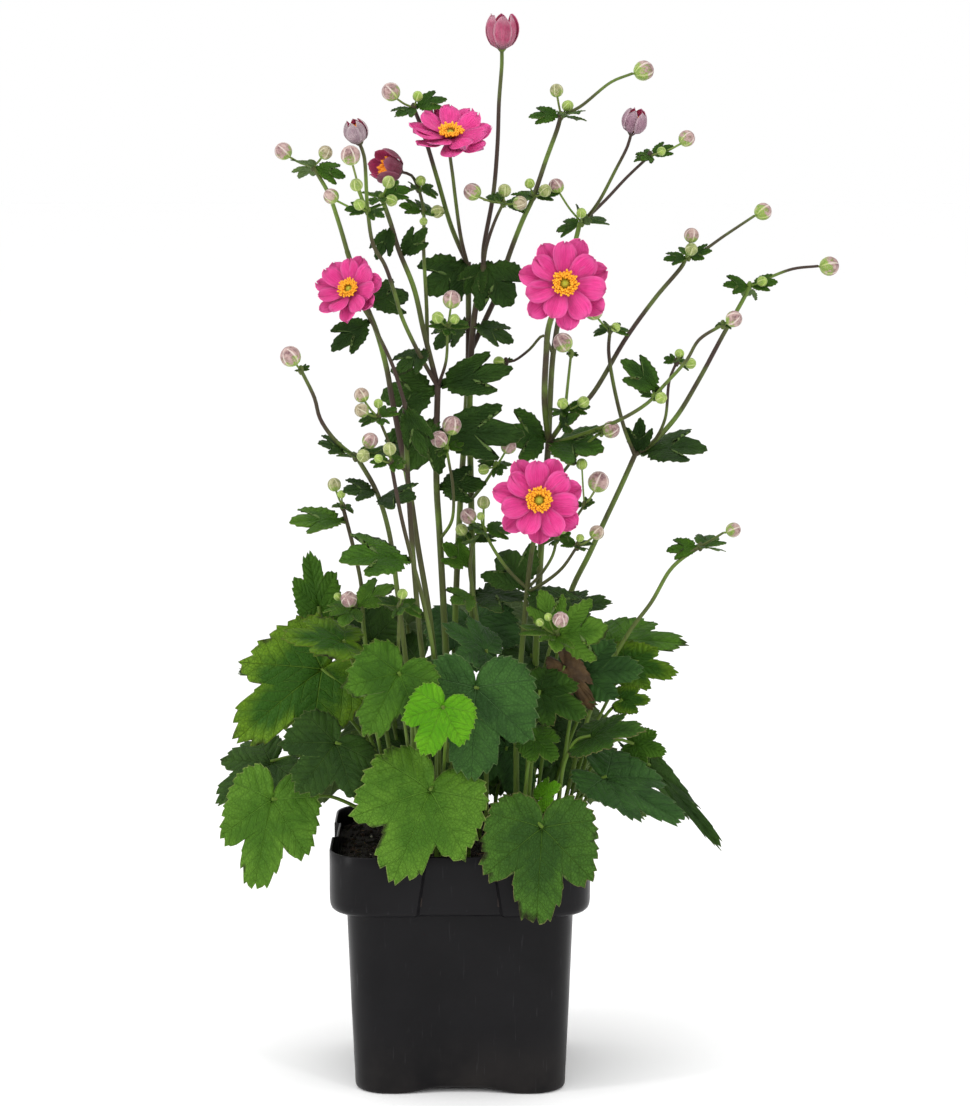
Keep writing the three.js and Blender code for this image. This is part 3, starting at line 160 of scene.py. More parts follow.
# Flowering stems: foot in the soil (x, y); stalks (radius, the bloom it ends in, places), of which the
# first runs from its top down to the soil and the others run from the joint they leave; sprays (joint,
# leaflet length, turn, buds (x, depth, height, radius)); leaves (base, tip, width, facing)
FLOWERING_STEMS = {
    "stem_tall": {
        "foot": (7, 6),
        "stalks": [
            (2.5, None, [(17, 0, 592), (10, 2, 552), (7, 4, 495), (8, 6, 422), (9, 6, 349), (7, 6, 275)]),
            (1.6, "tall", [(17, 0, 591), (17, 2, 603), (24, 8, 643), (27, 14, 679), (28, 18, 708),
             (26, 20, 730)]),
            (1.3, None, [(17, 0, 591), (19, -2, 605), (25, -8, 623), (31, -14, 636)]),
            (1.9, None, [(9, 4, 531), (18, 12, 552), (27, 20, 572), (35, 30, 598), (45, 38, 624),
             (52, 44, 639), (62, 54, 668), (70, 62, 690), (72, 64, 698)]),
            (1.2, None, [(72, 64, 699), (85, 66, 704), (108, 74, 722), (123, 80, 728)]),
            (1.2, None, [(8, 6, 422), (17, -8, 433), (26, -16, 447)]),
        ],
        "sprays": [
            ((31, -14, 636), 15, 20, [(32, -18, 645, 4.8), (43, -20, 636, 5.2), (9, -10, 644, 6.4)]),
            ((72, 64, 699), 21, 60, [(69, 60, 716, 5), (77, 56, 705, 4.4), (131, 84, 730, 7.6)]),
            ((53, 44, 641), 17, 100, [(50, 36, 650, 3.8), (61, 34, 645, 4.8)]),
            ((26, -16, 447), 13, 40, [(35, -20, 461, 5.8), (17, -22, 444, 4)]),
        ],
        "leaves": [
            ((15, 2, 594), (4, -8, 572), 18, FORWARD),
            ((19, 2, 594), (37, -8, 564), 38, FORWARD),
            ((12, 2, 549), (39, -6, 541), 25, UPWARD),
            ((9, 6, 354), (46, -16, 356), 37, UPWARD),
        ],
    },
    "stem_top_bloom": {
        "foot": (-4, 26),
        "stalks": [
            (2.3, None, [(6, 20, 594), (6, 22, 526), (4, 24, 480), (1, 26, 436), (-2, 26, 378),
             (-4, 26, 319), (-4, 26, 275)]),
            (1.7, None, [(6, 20, 591), (-6, 18, 619), (-16, 14, 653), (-27, 8, 689), (-33, 6, 704)]),
            (1.4, "top", [(5, 20, 590), (1, 12, 610), (-3, 4, 638), (-5, 0, 655)]),
        ],
        "sprays": [
            ((-34, 6, 706), 19, 0, [(-49, -2, 715, 6.8), (-30, 0, 712, 3.8)]),
        ],
        "leaves": [
            ((4, 18, 594), (-23, 0, 574), 35, FORWARD),
            ((5, 20, 554), (-20, 8, 536), 23, UPWARD),
        ],
    },
    "stem_thick": {
        "foot": (-8, -6),
        "stalks": [
            (2.5, None, [(-16, -10, 507), (-17, -10, 469), (-17, -8, 431), (-15, -8, 398),
             (-12, -8, 341), (-9, -6, 275)]),
            (2.0, None, [(-16, -10, 504), (-26, -14, 544), (-33, -18, 575), (-44, -22, 603),
             (-50, -26, 623), (-56, -30, 640)]),
            (1.5, "pale_left", [(-16, -10, 504), (-31, -24, 531), (-42, -34, 555), (-47, -40, 572),
             (-54, -46, 592), (-62, -50, 606), (-66, -54, 631), (-69, -60, 656)]),
            (1.4, None, [(-23, -13, 534), (-24, -6, 562), (-26, 4, 603), (-26, 8, 631), (-29, 10, 645)]),
            (1.2, "dark", [(-29, 10, 648), (-32, 7, 652)]),
            (1.2, None, [(-16, -10, 504), (-10, -22, 523), (-9, -30, 547)]),
            (1.2, None, [(-14, -8, 393), (-6, -20, 407), (-5, -26, 429), (-8, -30, 449), (-10, -32, 460)]),
        ],
        "sprays": [
            ((-56, -30, 642), 17, 10, [(-51, -38, 651, 4.6), (-49, -36, 638, 4.4)]),
            ((-66, -54, 630), 14, 70, [(-92, -50, 641, 5.6), (-72, -64, 635, 4.2), (-78, -76, 670, 7),
             (-74, -70, 649, 4.6)]),
            ((-29, 10, 647), 13, 20, [(-28, 2, 652, 3.8)]),
            ((-26, 8, 630), 16, 80, [(-16, 0, 630, 4.8), (-26, -4, 623, 3)]),
            ((-9, -30, 547), 14, 30, [(-6, -34, 567, 6.6), (-16, -40, 554, 4.4), (-4, -38, 553, 3.8)]),
            ((-10, -32, 459), 10, 0, [(-6, -36, 476, 7), (-15, -42, 466, 6.2)]),
        ],
        "leaves": [
            ((-42, -22, 598), (-26, -34, 617), 15, FORWARD),
            ((-52, -28, 617), (-60, -40, 598), 14, FORWARD),
            ((-24, -16, 531), (-46, -30, 519), 23, UPWARD),
            ((-16, -8, 505), (33, -30, 519), 26, FORWARD),
            ((-17, -8, 502), (-57, -14, 499), 34, FORWARD),
            ((-17, -10, 481), (-40, -28, 446), 40, FORWARD),
            ((-17, -10, 471), (38, -42, 473), 35, FORWARD),
            ((-17, -10, 431), (14, -26, 435), 23, FORWARD),
        ],
    },
    "stem_left": {
        "foot": (-17, -22),
        "stalks": [
            (2.2, None, [(-81, -10, 602), (-72, -12, 574), (-60, -14, 544), (-53, -16, 518),
             (-49, -18, 495), (-42, -20, 458), (-36, -22, 425), (-31, -22, 390), (-22, -22, 334),
             (-17, -22, 275)]),
            (1.6, None, [(-81, -10, 599), (-87, -4, 623), (-94, 4, 643), (-105, 10, 662)]),
        ],
        "sprays": [
            ((-106, 10, 665), 19, 0, [(-126, 4, 673, 6.4), (-96, 2, 672, 5.2)]),
        ],
        "leaves": [
            ((-68, -13, 565), (-34, 4, 573), 24, FORWARD),
            ((-41, -20, 455), (-61, -4, 465), 23, UPWARD),
        ],
    },
    "stem_left_bloom": {
        "foot": (-24, -38),
        "stalks": [
            (2.0, None, [(-40, -40, 493), (-39, -40, 465), (-37, -40, 422), (-34, -40, 378),
             (-29, -38, 319), (-24, -38, 275)]),
            (1.4, "left", [(-40, -40, 492), (-48, -38, 518), (-58, -32, 540), (-66, -26, 555)]),
            (1.2, None, [(-39, -40, 442), (-46, -46, 449), (-52, -52, 465), (-59, -56, 482)]),
        ],
        "sprays": [
            ((-59, -56, 484), 14, 40, [(-71, -60, 498, 5.4), (-71, -66, 487, 5.2), (-59, -62, 492, 3.4)]),
        ],
        "leaves": [
            ((-65, -27, 552), (-91, -44, 534), 20, FORWARD),
            ((-40, -40, 491), (-26, -64, 457), 18, FORWARD),
        ],
    },
    "stem_far_left": {
        "foot": (-34, -54),
        "stalks": [
            (1.9, None, [(-74, -62, 452), (-61, -60, 429), (-52, -58, 400), (-45, -56, 349),
             (-38, -54, 289), (-35, -54, 260)]),
            (1.5, None, [(-74, -62, 451), (-90, -66, 465), (-101, -68, 481), (-105, -70, 496),
             (-115, -74, 517)]),
        ],
        "sprays": [
            ((-75, -62, 454), 15, 10, [(-65, -68, 465, 5.8), (-70, -76, 454, 4.8)]),
            ((-115, -74, 516), 5, 0, [(-122, -78, 526, 7.4)]),
        ],
        "leaves": [
            ((-82, -64, 457), (-100, -74, 467), 21, UPWARD),
            ((-61, -60, 428), (-83, -70, 433), 25, UPWARD),
            ((-59, -60, 424), (-35, -78, 428), 31, UPWARD),
        ],
    },
    "stem_slender": {
        "foot": (-15, -50),
        "stalks": [
            (1.6, None, [(-50, -82, 449), (-43, -80, 411), (-36, -76, 382), (-29, -70, 356),
             (-20, -60, 312), (-16, -52, 267)]),
        ],
        "sprays": [
            ((-51, -82, 451), 13, 60, [(-51, -88, 459, 4.8), (-59, -92, 452, 3.2)]),
        ],
        "leaves": [
            ((-36, -76, 378), (-84, -92, 388), 46, UPWARD),
        ],
    },
    "stem_low_left": {
        "foot": (-44, -30),
        "stalks": [
            (1.7, None, [(-85, -16, 417), (-77, -18, 385), (-72, -20, 360), (-70, -18, 324),
             (-64, -14, 289), (-53, -22, 245)]),
            (1.2, None, [(-72, -20, 359), (-77, -40, 344)]),
        ],
        "sprays": [
            ((-88, -16, 423), 8, 30, [(-91, -18, 433, 5), (-86, -26, 426, 3)]),
            ((-77, -40, 344), 26, 15, [(-81, -56, 349, 6), (-89, -50, 351, 3)]),
        ],
        "leaves": [
            ((-82, -17, 407), (-122, -30, 412), 29, UPWARD),
        ],
    },
    "stem_low_centre": {
        "foot": (-34, -62),
        "stalks": [
            (1.4, None, [(-44, -80, 344), (-45, -68, 312), (-43, -64, 275), (-38, -62, 237)]),
        ],
        "sprays": [
            ((-44, -80, 344), 16, 30, [(-42, -88, 353, 3.8)]),
        ],
        "leaves": [],
    },
    "stem_right_wide": {
        "foot": (52, 16),
        "stalks": [
            (2.6, None, [(64, 10, 466), (62, 12, 436), (59, 14, 393), (56, 16, 334), (54, 16, 275)]),
            (2.1, None, [(63, 10, 465), (65, 14, 495), (67, 22, 527), (72, 32, 559), (78, 42, 588),
             (86, 50, 622)]),
            (2.3, "right", [(63, 10, 465), (61, -10, 495), (62, -20, 526), (64, -28, 548)]),
            (1.8, None, [(64, 10, 463), (76, 20, 480), (94, 34, 497), (120, 50, 540), (141, 58, 569),
             (160, 66, 592), (162, 66, 597)]),
            (1.4, None, [(64, 10, 462), (83, 4, 468), (115, -10, 480), (136, -20, 493), (146, -24, 504),
             (163, -30, 523), (172, -34, 538), (189, -40, 549)]),
            (1.3, "pale_right", [(86, 50, 621), (92, 44, 627), (100, 36, 638), (111, 28, 659),
             (117, 22, 676)]),
            (1.3, None, [(87, 50, 620), (104, 60, 638), (120, 70, 655), (136, 76, 670)]),
            (1.2, None, [(164, 66, 597), (171, 68, 600), (190, 76, 613), (211, 84, 627)]),
            (1.3, None, [(64, 10, 463), (72, -2, 476), (76, -8, 487)]),
            (1.1, None, [(76, -8, 486), (78, -10, 509), (80, -12, 528)]),
            (1.1, None, [(65, 14, 529), (60, 16, 541), (50, 18, 531), (39, 20, 523), (33, 20, 522)]),
            (1.2, None, [(61, 12, 422), (76, 6, 444), (94, 0, 465), (102, -2, 471)]),
            (1.2, None, [(59, 14, 389), (77, 2, 400), (90, -4, 418)]),
        ],
        "sprays": [
            ((87, 50, 623), 19, 40, [(69, 44, 648, 5.8), (87, 34, 629, 3.8)]),
            ((138, 76, 673), 15, 10, [(162, 80, 682, 6.2), (144, 66, 673, 3.4)]),
            ((164, 66, 598), 17, 80, [(166, 62, 613, 5.6), (166, 54, 603, 4.8), (217, 88, 630, 6.6)]),
            ((191, -41, 551), 6, 20, [(197, -44, 553, 6)]),
            ((141, -22, 496), 10, 60, [(145, -30, 496, 4.4)]),
            ((76, -8, 487), 14, 0, [(89, -12, 493, 4.4), (74, -18, 492, 4.2)]),
            ((80, -12, 528), 4, 0, [(74, -14, 536, 7.2)]),
            ((33, 20, 522), 4, 0, [(28, 18, 522, 4.2)]),
            ((103, -2, 472), 6, 0, [(109, -4, 473, 6.4)]),
            ((90, -4, 419), 8, 50, [(100, -8, 435, 7.8), (88, -6, 448, 4.2)]),
        ],
        "leaves": [
            ((144, -24, 500), (120, -34, 523), 20, FORWARD),
            ((64, 10, 465), (101, -12, 465), 46, UPWARD),
            ((64, 10, 468), (36, -8, 470), 34, FORWARD),
            ((67, -6, 474), (78, -30, 483), 17, FORWARD),
        ],
    },
    "stem_far_right": {
        "foot": (64, 40),
        "stalks": [
            (2.3, None, [(127, 60, 456), (116, 56, 431), (104, 52, 405), (93, 48, 381), (81, 46, 356),
             (71, 42, 319), (67, 40, 275)]),
            (1.5, None, [(127, 60, 454), (118, 48, 476), (110, 40, 509), (107, 36, 531), (108, 34, 545)]),
            (1.9, None, [(127, 60, 455), (134, 62, 459), (155, 70, 481), (172, 78, 509), (189, 88, 541),
             (205, 96, 570), (208, 98, 577)]),
            (1.2, None, [(134, 62, 459), (141, 54, 466), (148, 46, 481), (151, 40, 509), (156, 38, 522)]),
            (1.2, None, [(208, 98, 578), (220, 102, 582), (239, 110, 589), (257, 116, 591)]),
        ],
        "sprays": [
            ((109, 34, 548), 13, 30, [(96, 28, 559, 7), (112, 26, 547, 3.6)]),
            ((156, 38, 523), 10, 30, [(158, 34, 528, 3.6), (166, 36, 521, 4.2)]),
            ((208, 98, 577), 19, 90, [(265, 118, 591, 7.4), (217, 90, 580, 4)]),
        ],
        "leaves": [
            ((130, 60, 457), (175, 50, 468), 39, UPWARD),
            ((128, 60, 455), (130, 40, 476), 17, FORWARD),
        ],
    },
    "stem_arching_right": {
        "foot": (73, -14),
        "stalks": [
            (1.7, None, [(173, 20, 387), (161, 16, 379), (152, 12, 370), (139, 6, 347), (125, 0, 328),
             (111, -4, 304), (98, -10, 275), (86, -14, 237)]),
            (1.0, None, [(173, 20, 387), (183, 20, 393), (191, 20, 398)]),
        ],
        "sprays": [
            ((174, 20, 388), 22, 60, [(198, 20, 400, 5.6)]),
        ],
        "leaves": [],
    },
    "stem_front_bloom": {
        "foot": (41, -16),
        "stalks": [
            (2.2, None, [(49, -22, 360), (46, -20, 326), (43, -18, 289), (41, -16, 252)]),
            (1.9, "front", [(49, -22, 359), (51, -28, 378), (54, -36, 396)]),
            (1.3, None, [(49, -22, 357), (39, -22, 366), (30, -20, 377), (22, -18, 390), (17, -16, 400)]),
            (1.2, None, [(49, -22, 357), (59, -12, 368), (67, -6, 381), (70, -4, 393)]),
            (1.3, None, [(49, -22, 354), (62, -30, 362), (74, -36, 372), (85, -40, 388)]),
        ],
        "sprays": [
            ((16, -16, 401), 17, 20, [(17, -18, 420, 4.8), (6, -22, 410, 6), (15, -30, 410, 3)]),
            ((86, -40, 390), 12, 50, [(99, -44, 398, 5.4), (87, -50, 394, 3)]),
            ((70, -4, 394), 9, 10, [(74, -8, 400, 3.4)]),
        ],
        "leaves": [
            ((49, -22, 356), (29, -8, 387), 38, FORWARD),
            ((50, -22, 357), (84, -46, 341), 35, UPWARD),
        ],
    },
    "stem_low_right": {
        "foot": (47, -26),
        "stalks": [
            (1.6, None, [(70, -56, 323), (65, -36, 312), (60, -14, 292), (52, -22, 260)]),
        ],
        "sprays": [
            ((70, -56, 325), 27, 30, [(73, -76, 334, 5.8), (58, -70, 332, 3), (64, -72, 336, 3)]),
        ],
        "leaves": [
            ((70, -56, 323), (60, -62, 354), 24, FORWARD),
            ((70, -56, 323), (104, -70, 328), 38, FORWARD),
        ],
    },
    "stem_mid": {
        "foot": (19, -14),
        "stalks": [
            (1.7, None, [(9, -14, 391), (7, -12, 374), (10, -10, 349), (14, -12, 319), (18, -14, 275)]),
        ],
        "sprays": [
            ((9, -14, 393), 15, 20, [(1, -20, 400, 4.6)]),
        ],
        "leaves": [
            ((7, -12, 373), (-10, -26, 389), 18, FORWARD),
            ((9, -10, 352), (-6, -20, 349), 27, UPWARD),
        ],
    },
}

# Open blooms: seat on the stalk, radius, way it faces
OPEN_BLOOMS = {
    "top": ((-7, -11, 679), 31, (0.03, -0.55, 0.83)),
    "left": ((-77, -38, 571), 26, (-0.3, -0.82, 0.48)),
    "right": ((75, -43, 577), 33, (0.02, -0.97, 0.22)),
    "front": ((57, -61, 420), 33, (0.0, -0.96, 0.28)),
}

# Half open blooms: seat, radius, way it faces, height, and how far the petals close again at their tips
CUP_BLOOMS = {
    "tall": ((30, 20, 743), 12.5, (0, -0.12, 1), 27, 0.62),
    "dark": ((-41, 2, 658), 12, (-0.78, -0.5, 0.3), 23, 0.42),
    "pale_left": ((-71, -66, 677), 9.5, (-0.3, -0.3, 0.9), 19, 0.74),
    "pale_right": ((122, 17, 684), 10.5, (0.25, -0.25, 0.9), 20, 0.74),
}

# Basal leaves: base, tip, width, facing, foot in the soil, places along the leaf stalk, finish
BASAL_LEAVES = {
    "front_left_low": ((-138, -70, 201), (-152, -96, 136), 67, FORWARD,
        (-44, -52), [(-118, -60, 200), (-96, -60, 203)], "fresh"),
    "left_drooping": ((-139, -26, 229), (-179, -40, 202), 64, UPWARD,
        (-46, -36), [(-117, -26, 233), (-81, -30, 219)], "dark"),
    "front_centre": ((-22, -84, 208), (-49, -112, 142), 90, FORWARD,
        (-25, -57), [(-19, -70, 212)], "fresh"),
    "front_right": ((60, -90, 180), (56, -122, 110), 81, FORWARD,
        (29, -54), [(47, -70, 191)], "deep"),
    "left_dark": ((-91, -66, 243), (-118, -90, 208), 69, FORWARD,
        (-41, -72), [(-76, -58, 236)], "dark"),
    "left_broad": ((-101, -28, 298), (-164, -42, 248), 85, FORWARD,
        (-50, -46), [(-84, -32, 282), (-60, -42, 230)], "olive"),
    "centre_left": ((-45, -84, 295), (-68, -102, 250), 63, FORWARD,
        (-30, -66), [(-38, -76, 282), (-31, -66, 237)], "mid"),
    "centre_bright": ((-13, -102, 270), (-27, -114, 235), 49, FORWARD,
        (-17, -62), [(-10, -98, 263), (-11, -84, 243), (-12, -68, 226)], "bright"),
    "centre_dark": ((11, -74, 284), (8, -90, 217), 85, FORWARD,
        (4, -60), [(16, -66, 281), (13, -60, 230)], "bluish"),
    "left_upright": ((-103, -4, 344), (-110, 2, 383), 34, FORWARD,
        (-52, -20), [(-98, -8, 312), (-73, -14, 260)], "mid"),
    "left_upper": ((-85, -60, 319), (-128, -70, 325), 48, UPWARD,
        (-50, -58), [(-79, -56, 304), (-60, -56, 245)], "olive"),
    "far_left": ((-117, 4, 295), (-161, -2, 299), 35, UPWARD,
        (-47, -6), [(-102, 2, 282), (-69, -4, 245)], "dark"),
    "left_back": ((-64, 14, 319), (-103, 20, 344), 50, FORWARD,
        (-36, 10), [(-56, 12, 289)], "dark"),
    "centre_upper": ((19, -45, 312), (-10, -50, 332), 50, UPWARD,
        (6, -36), [(20, -42, 289)], "bluish"),
    "right_upper": ((74, 10, 340), (107, 6, 351), 41, UPWARD,
        (54, -2), [(70, 8, 304)], "dark"),
    "right_far_upper": ((110, 24, 319), (163, 16, 322), 54, UPWARD,
        (64, 14), [(102, 22, 297), (80, 16, 245)], "mid"),
    "right_dark": ((89, -24, 295), (131, -34, 298), 46, FORWARD,
        (69, -27), [(83, -24, 275)], "bluish"),
    "right_light": ((119, -2, 303), (157, -12, 295), 34, FORWARD,
        (77, 0), [(111, -4, 282), (92, 0, 241)], "olive"),
    "right_small": ((118, -28, 275), (138, -34, 275), 21, FORWARD,
        (83, -4), [(106, -20, 263), (93, -8, 233)], "olive"),
    "right_mid": ((95, -48, 248), (131, -66, 258), 46, UPWARD,
        (70, -50), [(85, -50, 245), (76, -50, 227)], "deep"),
    "right_edge": ((127, -10, 242), (149, -20, 236), 29, FORWARD,
        (78, -19), [(114, -10, 245), (95, -14, 223)], "mid"),
    "right_dark_low": ((58, -38, 282), (90, -60, 264), 40, FORWARD,
        (48, -44), [(55, -42, 260)], "deep"),
    "centre_right_low": ((54, -56, 246), (71, -64, 232), 37, UPWARD,
        (44, -56), [(50, -57, 229)], "mid"),
    "right_drooping": ((107, -44, 218), (164, -60, 188), 58, UPWARD,
        (77, -34), [(95, -42, 212)], "bluish"),
    "right_narrow": ((139, 2, 226), (195, -8, 169), 23, UPWARD,
        (79, -27), [(121, 0, 233), (102, -14, 215)], "dark"),
    "soil_bright": ((59, -62, 202), (71, -66, 213), 33, UPWARD,
        (58, -62), [(59, -62, 196)], "bright"),
}


# Shapes

def seen(place):
    """The point in space of a place read from the front, in millimetres."""
    x, depth, height = place[:3]
    reach = 1 - depth / VIEWPOINT.y
    return Vector((VIEWPOINT.x + (x - VIEWPOINT.x) * reach, depth,
                   VIEWPOINT.z + (height - VIEWPOINT.z) * reach))


def seeded_draws(seed):
    """A repeatable sequence of numbers from 0 to 1, the same one that sets the petals of the solids."""
    state = seed
    while True:
        state = (state * 16807) % 2147483647
        yield state / 2147483647


def between(table, value):
    """A value read from a table of (place, value) pairs, along straight lines."""
    for (low, a), (high, b) in zip(table, table[1:]):
        if value <= high:
            return a + (b - a) * (value - low) / (high - low)
    return table[-1][1]


def smooth_step(low, high, value):
    share = min(1, max(0, (value - low) / (high - low)))
    return share * share * (3 - 2 * share)


def smooth_route(points, spacing):
    """A smooth line through the points: centripetal splines, as the solid stalks follow."""
    ends = [2 * points[0] - points[1], *points, 2 * points[-1] - points[-2]]
    line = [points[0].copy()]
    for i in range(len(points) - 1):
        before, start, end, after = ends[i:i + 4]
        span = math.sqrt((end - start).length) or 1.0
        first = math.sqrt((start - before).length) or span
        last = math.sqrt((after - end).length) or span
        leave = ((start - before) / first - (end - before) / (first + span) + (end - start) / span) * span
        arrive = ((end - start) / span - (after - start) / (span + last) + (after - end) / last) * span
        steps = max(1, round((end - start).length / spacing))
        for step in range(1, steps + 1):
            t = step / steps
            line.append(start + leave * t + (3 * (end - start) - 2 * leave - arrive) * t ** 2
                        + (2 * (start - end) + leave + arrive) * t ** 3)
    return line


def nearest_on(lines, point):
    """The point on any of the lines that lies nearest to the one given."""
    best = None
    for line in lines:
        for start, end in zip(line, line[1:]):
            span = end - start
            share = min(1, max(0, (point - start).dot(span) / max(span.length_squared, 1e-9)))
            near = start + span * share
            if best is None or (near - point).length < (best - point).length:
                best = near
    return best


def blade_directions(along, facing):
    """Across a blade and out of its upper face, from the way it lies."""
    normal = Vector(facing)
    normal = (normal - along * normal.dot(along)).normalized()
    return normal.cross(along), normal


def cross_directions(toward):
    """Two directions square to the way a bloom faces."""
    side = toward.cross(Vector((0.2, 0.3, 1))).normalized()
    return side, toward.cross(side)


class Shape:
    """Points in millimetres and faces, with (u, v) marks and a value for every point."""

    def __init__(self):
        self.points, self.faces, self.marks, self.values, self.tints = [], [], [], [], []

    def add_point(self, point, mark=(0, 0), value=0.0, tint=0.0):
        self.points.append(point)
        self.marks.append(mark)
        self.values.append(value)
        self.tints.append(tint)
        return len(self.points) - 1

    def add_rows(self, rows, closed):
        """Faces between rows of point numbers; a row of one number is a pole."""
        for row, following in zip(rows, rows[1:]):
            count = max(len(row), len(following))
            for i in range(count if closed else count - 1):
                j = (i + 1) % count
                if len(row) == 1:
                    self.faces.append((row[0], following[j], following[i]))
                elif len(following) == 1:
                    self.faces.append((row[i], row[j], following[0]))
                else:
                    self.faces.append((row[i], row[j], following[j], following[i]))


def tapered(line, radius, start, change):
    """A radius for each point of a line, from one share of the radius given to another."""
    last = len(line) - 1
    return [radius * (start + change * i / last) for i in range(last + 1)]


def any_turn(chance):
    """A direction or a phase by chance, in radians."""
    return chance.uniform(0, 6.28)


def around(side, top, angle):
    """The direction at an angle between two others."""
    return side * math.cos(angle) + top * math.sin(angle)


def set_up(shape, place, toward):
    """An upright form moved to a place and turned to face another way."""
    turn = UP.rotation_difference(toward)
    shape.points = [place + turn @ p for p in shape.points]
    return shape


# Pieces

def linked(name, data):
    """A new object at the origin of the scene."""
    piece = bpy.data.objects.new(name, data)
    bpy.context.scene.collection.objects.link(piece)
    return piece


def shape_mesh(name, shape):
    """The shape as a smooth mesh in metres, with its (u, v) map."""
    mesh = bpy.data.meshes.new(name)
    mesh.from_pydata([p * MM for p in shape.points], [], shape.faces)
    blade = mesh.uv_layers.new(name="blade")
    for loop in mesh.loops:
        blade.data[loop.index].uv = shape.marks[loop.vertex_index]
    mesh.shade_smooth()
    return mesh


def mesh_piece(name, shape, *materials, thickness=0.0, sharp=None):
    """The shape as an object at the origin; a thickness in millimetres makes a blade of it."""
    mesh = shape_mesh(name, shape)
    for material in materials:
        mesh.materials.append(material)
    for title, values in (("rim", shape.values), ("tint", shape.tints)):
        mesh.attributes.new(title, "FLOAT", "POINT").data.foreach_set("value", values)
    if sharp:
        mesh.set_sharp_from_angle(angle=math.radians(sharp))
    piece = linked(name, mesh)
    if thickness:
        solid = piece.modifiers.new("Thickness", "SOLIDIFY")
        solid.thickness, solid.offset = thickness * MM, -1
        solid.material_offset = 1 if len(materials) > 1 else 0
    return piece


def prototype(name, shape):
    """A form to be repeated, kept out of the scene."""
    return bpy.data.objects.new(name, shape_mesh(name, shape))


def hand_over(piece, slot, *nodes):
    """Puts a finished piece on the part's one body and hides the solids it stands for; slot is not used."""
    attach(piece, "root")
    if nodes:
        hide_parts(*nodes)


def hand_over_stalks(name, routes, finish, settings, *nodes):
    """Stalks or twigs along their routes, as one piece."""
    hand_over(grown(name, curve_source(name, routes), "Stalk tubes", Sides=settings.stalk_sides,
                    Material=stalk_material(finish)), "stem", *nodes)


def hand_over_leaves(name, shape, tone, settings, *nodes):
    """Leaf blades of one tone, with the paler underside that every leaf has."""
    hand_over(mesh_piece(name, shape, leaf_material("Leaf " + tone, tone, settings.browning),
                         leaf_underside("Leaf underside"), thickness=settings.leaf_thickness), "leaf", *nodes)


def hand_over_petals(name, shape, outside, inside, slot, settings, node):
    """All the petals of a bloom, in one finish on each face."""
    hand_over(mesh_piece(name, shape, petal_material(outside), petal_material(inside),
                         thickness=settings.petal_thickness), slot, node)


def hand_over_small_forms(name, form, places, slot, seed, material, *nodes):
    """A small form repeated at its places, as one piece."""
    repeated = prototype("small_form", form)
    hand_over(grown(name, marked_points(name, places), "Small forms", Form=repeated, Seed=seed,
                    Material=material), slot, *nodes)
    bpy.data.objects.remove(repeated)


# Node trees

class Graph:
    """Short hand for laying nodes in a tree and joining them."""

    def __init__(self, tree):
        self.tree, self.nodes, self.links = tree, tree.nodes, tree.links

    def put(self, kind, inputs=None, **settings):
        node = self.nodes.new(kind)
        for key, value in settings.items():
            setattr(node, key, value)
        for key, value in (inputs or {}).items():
            self.feed(node.inputs[key], value)
        return node

    def feed(self, socket, value):
        if isinstance(value, bpy.types.NodeSocket):
            self.links.new(value, socket)
        else:
            socket.default_value = value

    def math(self, operation, *values, clamp=False):
        return self.put("ShaderNodeMath", dict(enumerate(values)), operation=operation,
                        use_clamp=clamp).outputs[0]

    def plus(self, first, second, clamp=False):
        return self.math("ADD", first, second, clamp=clamp)

    def minus(self, first, second):
        return self.math("SUBTRACT", first, second)

    def times(self, first, second):
        return self.math("MULTIPLY", first, second)

    def larger(self, first, second):
        return self.math("MAXIMUM", first, second)

    def unsigned(self, value):
        return self.math("ABSOLUTE", value)

    def mix(self, share, first, second):
        return self.put("ShaderNodeMix", {0: share, 6: first, 7: second}, data_type="RGBA").outputs[2]

    def tinge(self, colour, code, mask, share):
        """The colour with a share of another one, given by its hex code, where the mask is."""
        return self.mix(self.times(mask, share), colour, paint(code))

    def fade(self, value, low, high, start=0.0, end=1.0):
        return self.put("ShaderNodeMapRange", {0: value, 1: low, 2: high, 3: start, 4: end},
                        interpolation_type="SMOOTHSTEP").outputs[0]

    def noise(self, vector, scale, detail, roughness=0.55):
        return self.put("ShaderNodeTexNoise", {"Vector": vector, "Scale": scale, "Detail": detail,
                                               "Roughness": roughness}).outputs[0]

    def attribute(self, name):
        return self.put("ShaderNodeAttribute", attribute_name=name).outputs["Fac"]

    def place(self):
        return self.put("ShaderNodeTexCoord").outputs["Object"]

    def stretched_place(self, place, scale, rotation=(0, 0, 0)):
        return self.put("ShaderNodeMapping", {"Vector": place, "Scale": scale,
                                              "Rotation": rotation}).outputs[0]

    def axes(self, vector):
        return self.put("ShaderNodeSeparateXYZ", {0: vector}).outputs

    def blade_spot(self):
        """A point's place on its own leaf or petal, and the u and v of it."""
        spot = self.put("ShaderNodeUVMap", uv_map="blade").outputs[0]
        return spot, *self.axes(spot)[:2]

    def group(self, name, **inputs):
        """A shader group, made the first time that it is used."""
        makers = {"Mottle": mottle_group, "Leaf veins": venation_group, "Petal streaks": petal_group}
        node = self.put("ShaderNodeGroup", node_tree=bpy.data.node_groups.get(name) or makers[name]())
        for key, value in inputs.items():
            self.feed(node.inputs[key.replace("_", " ")], value)
        return node.outputs


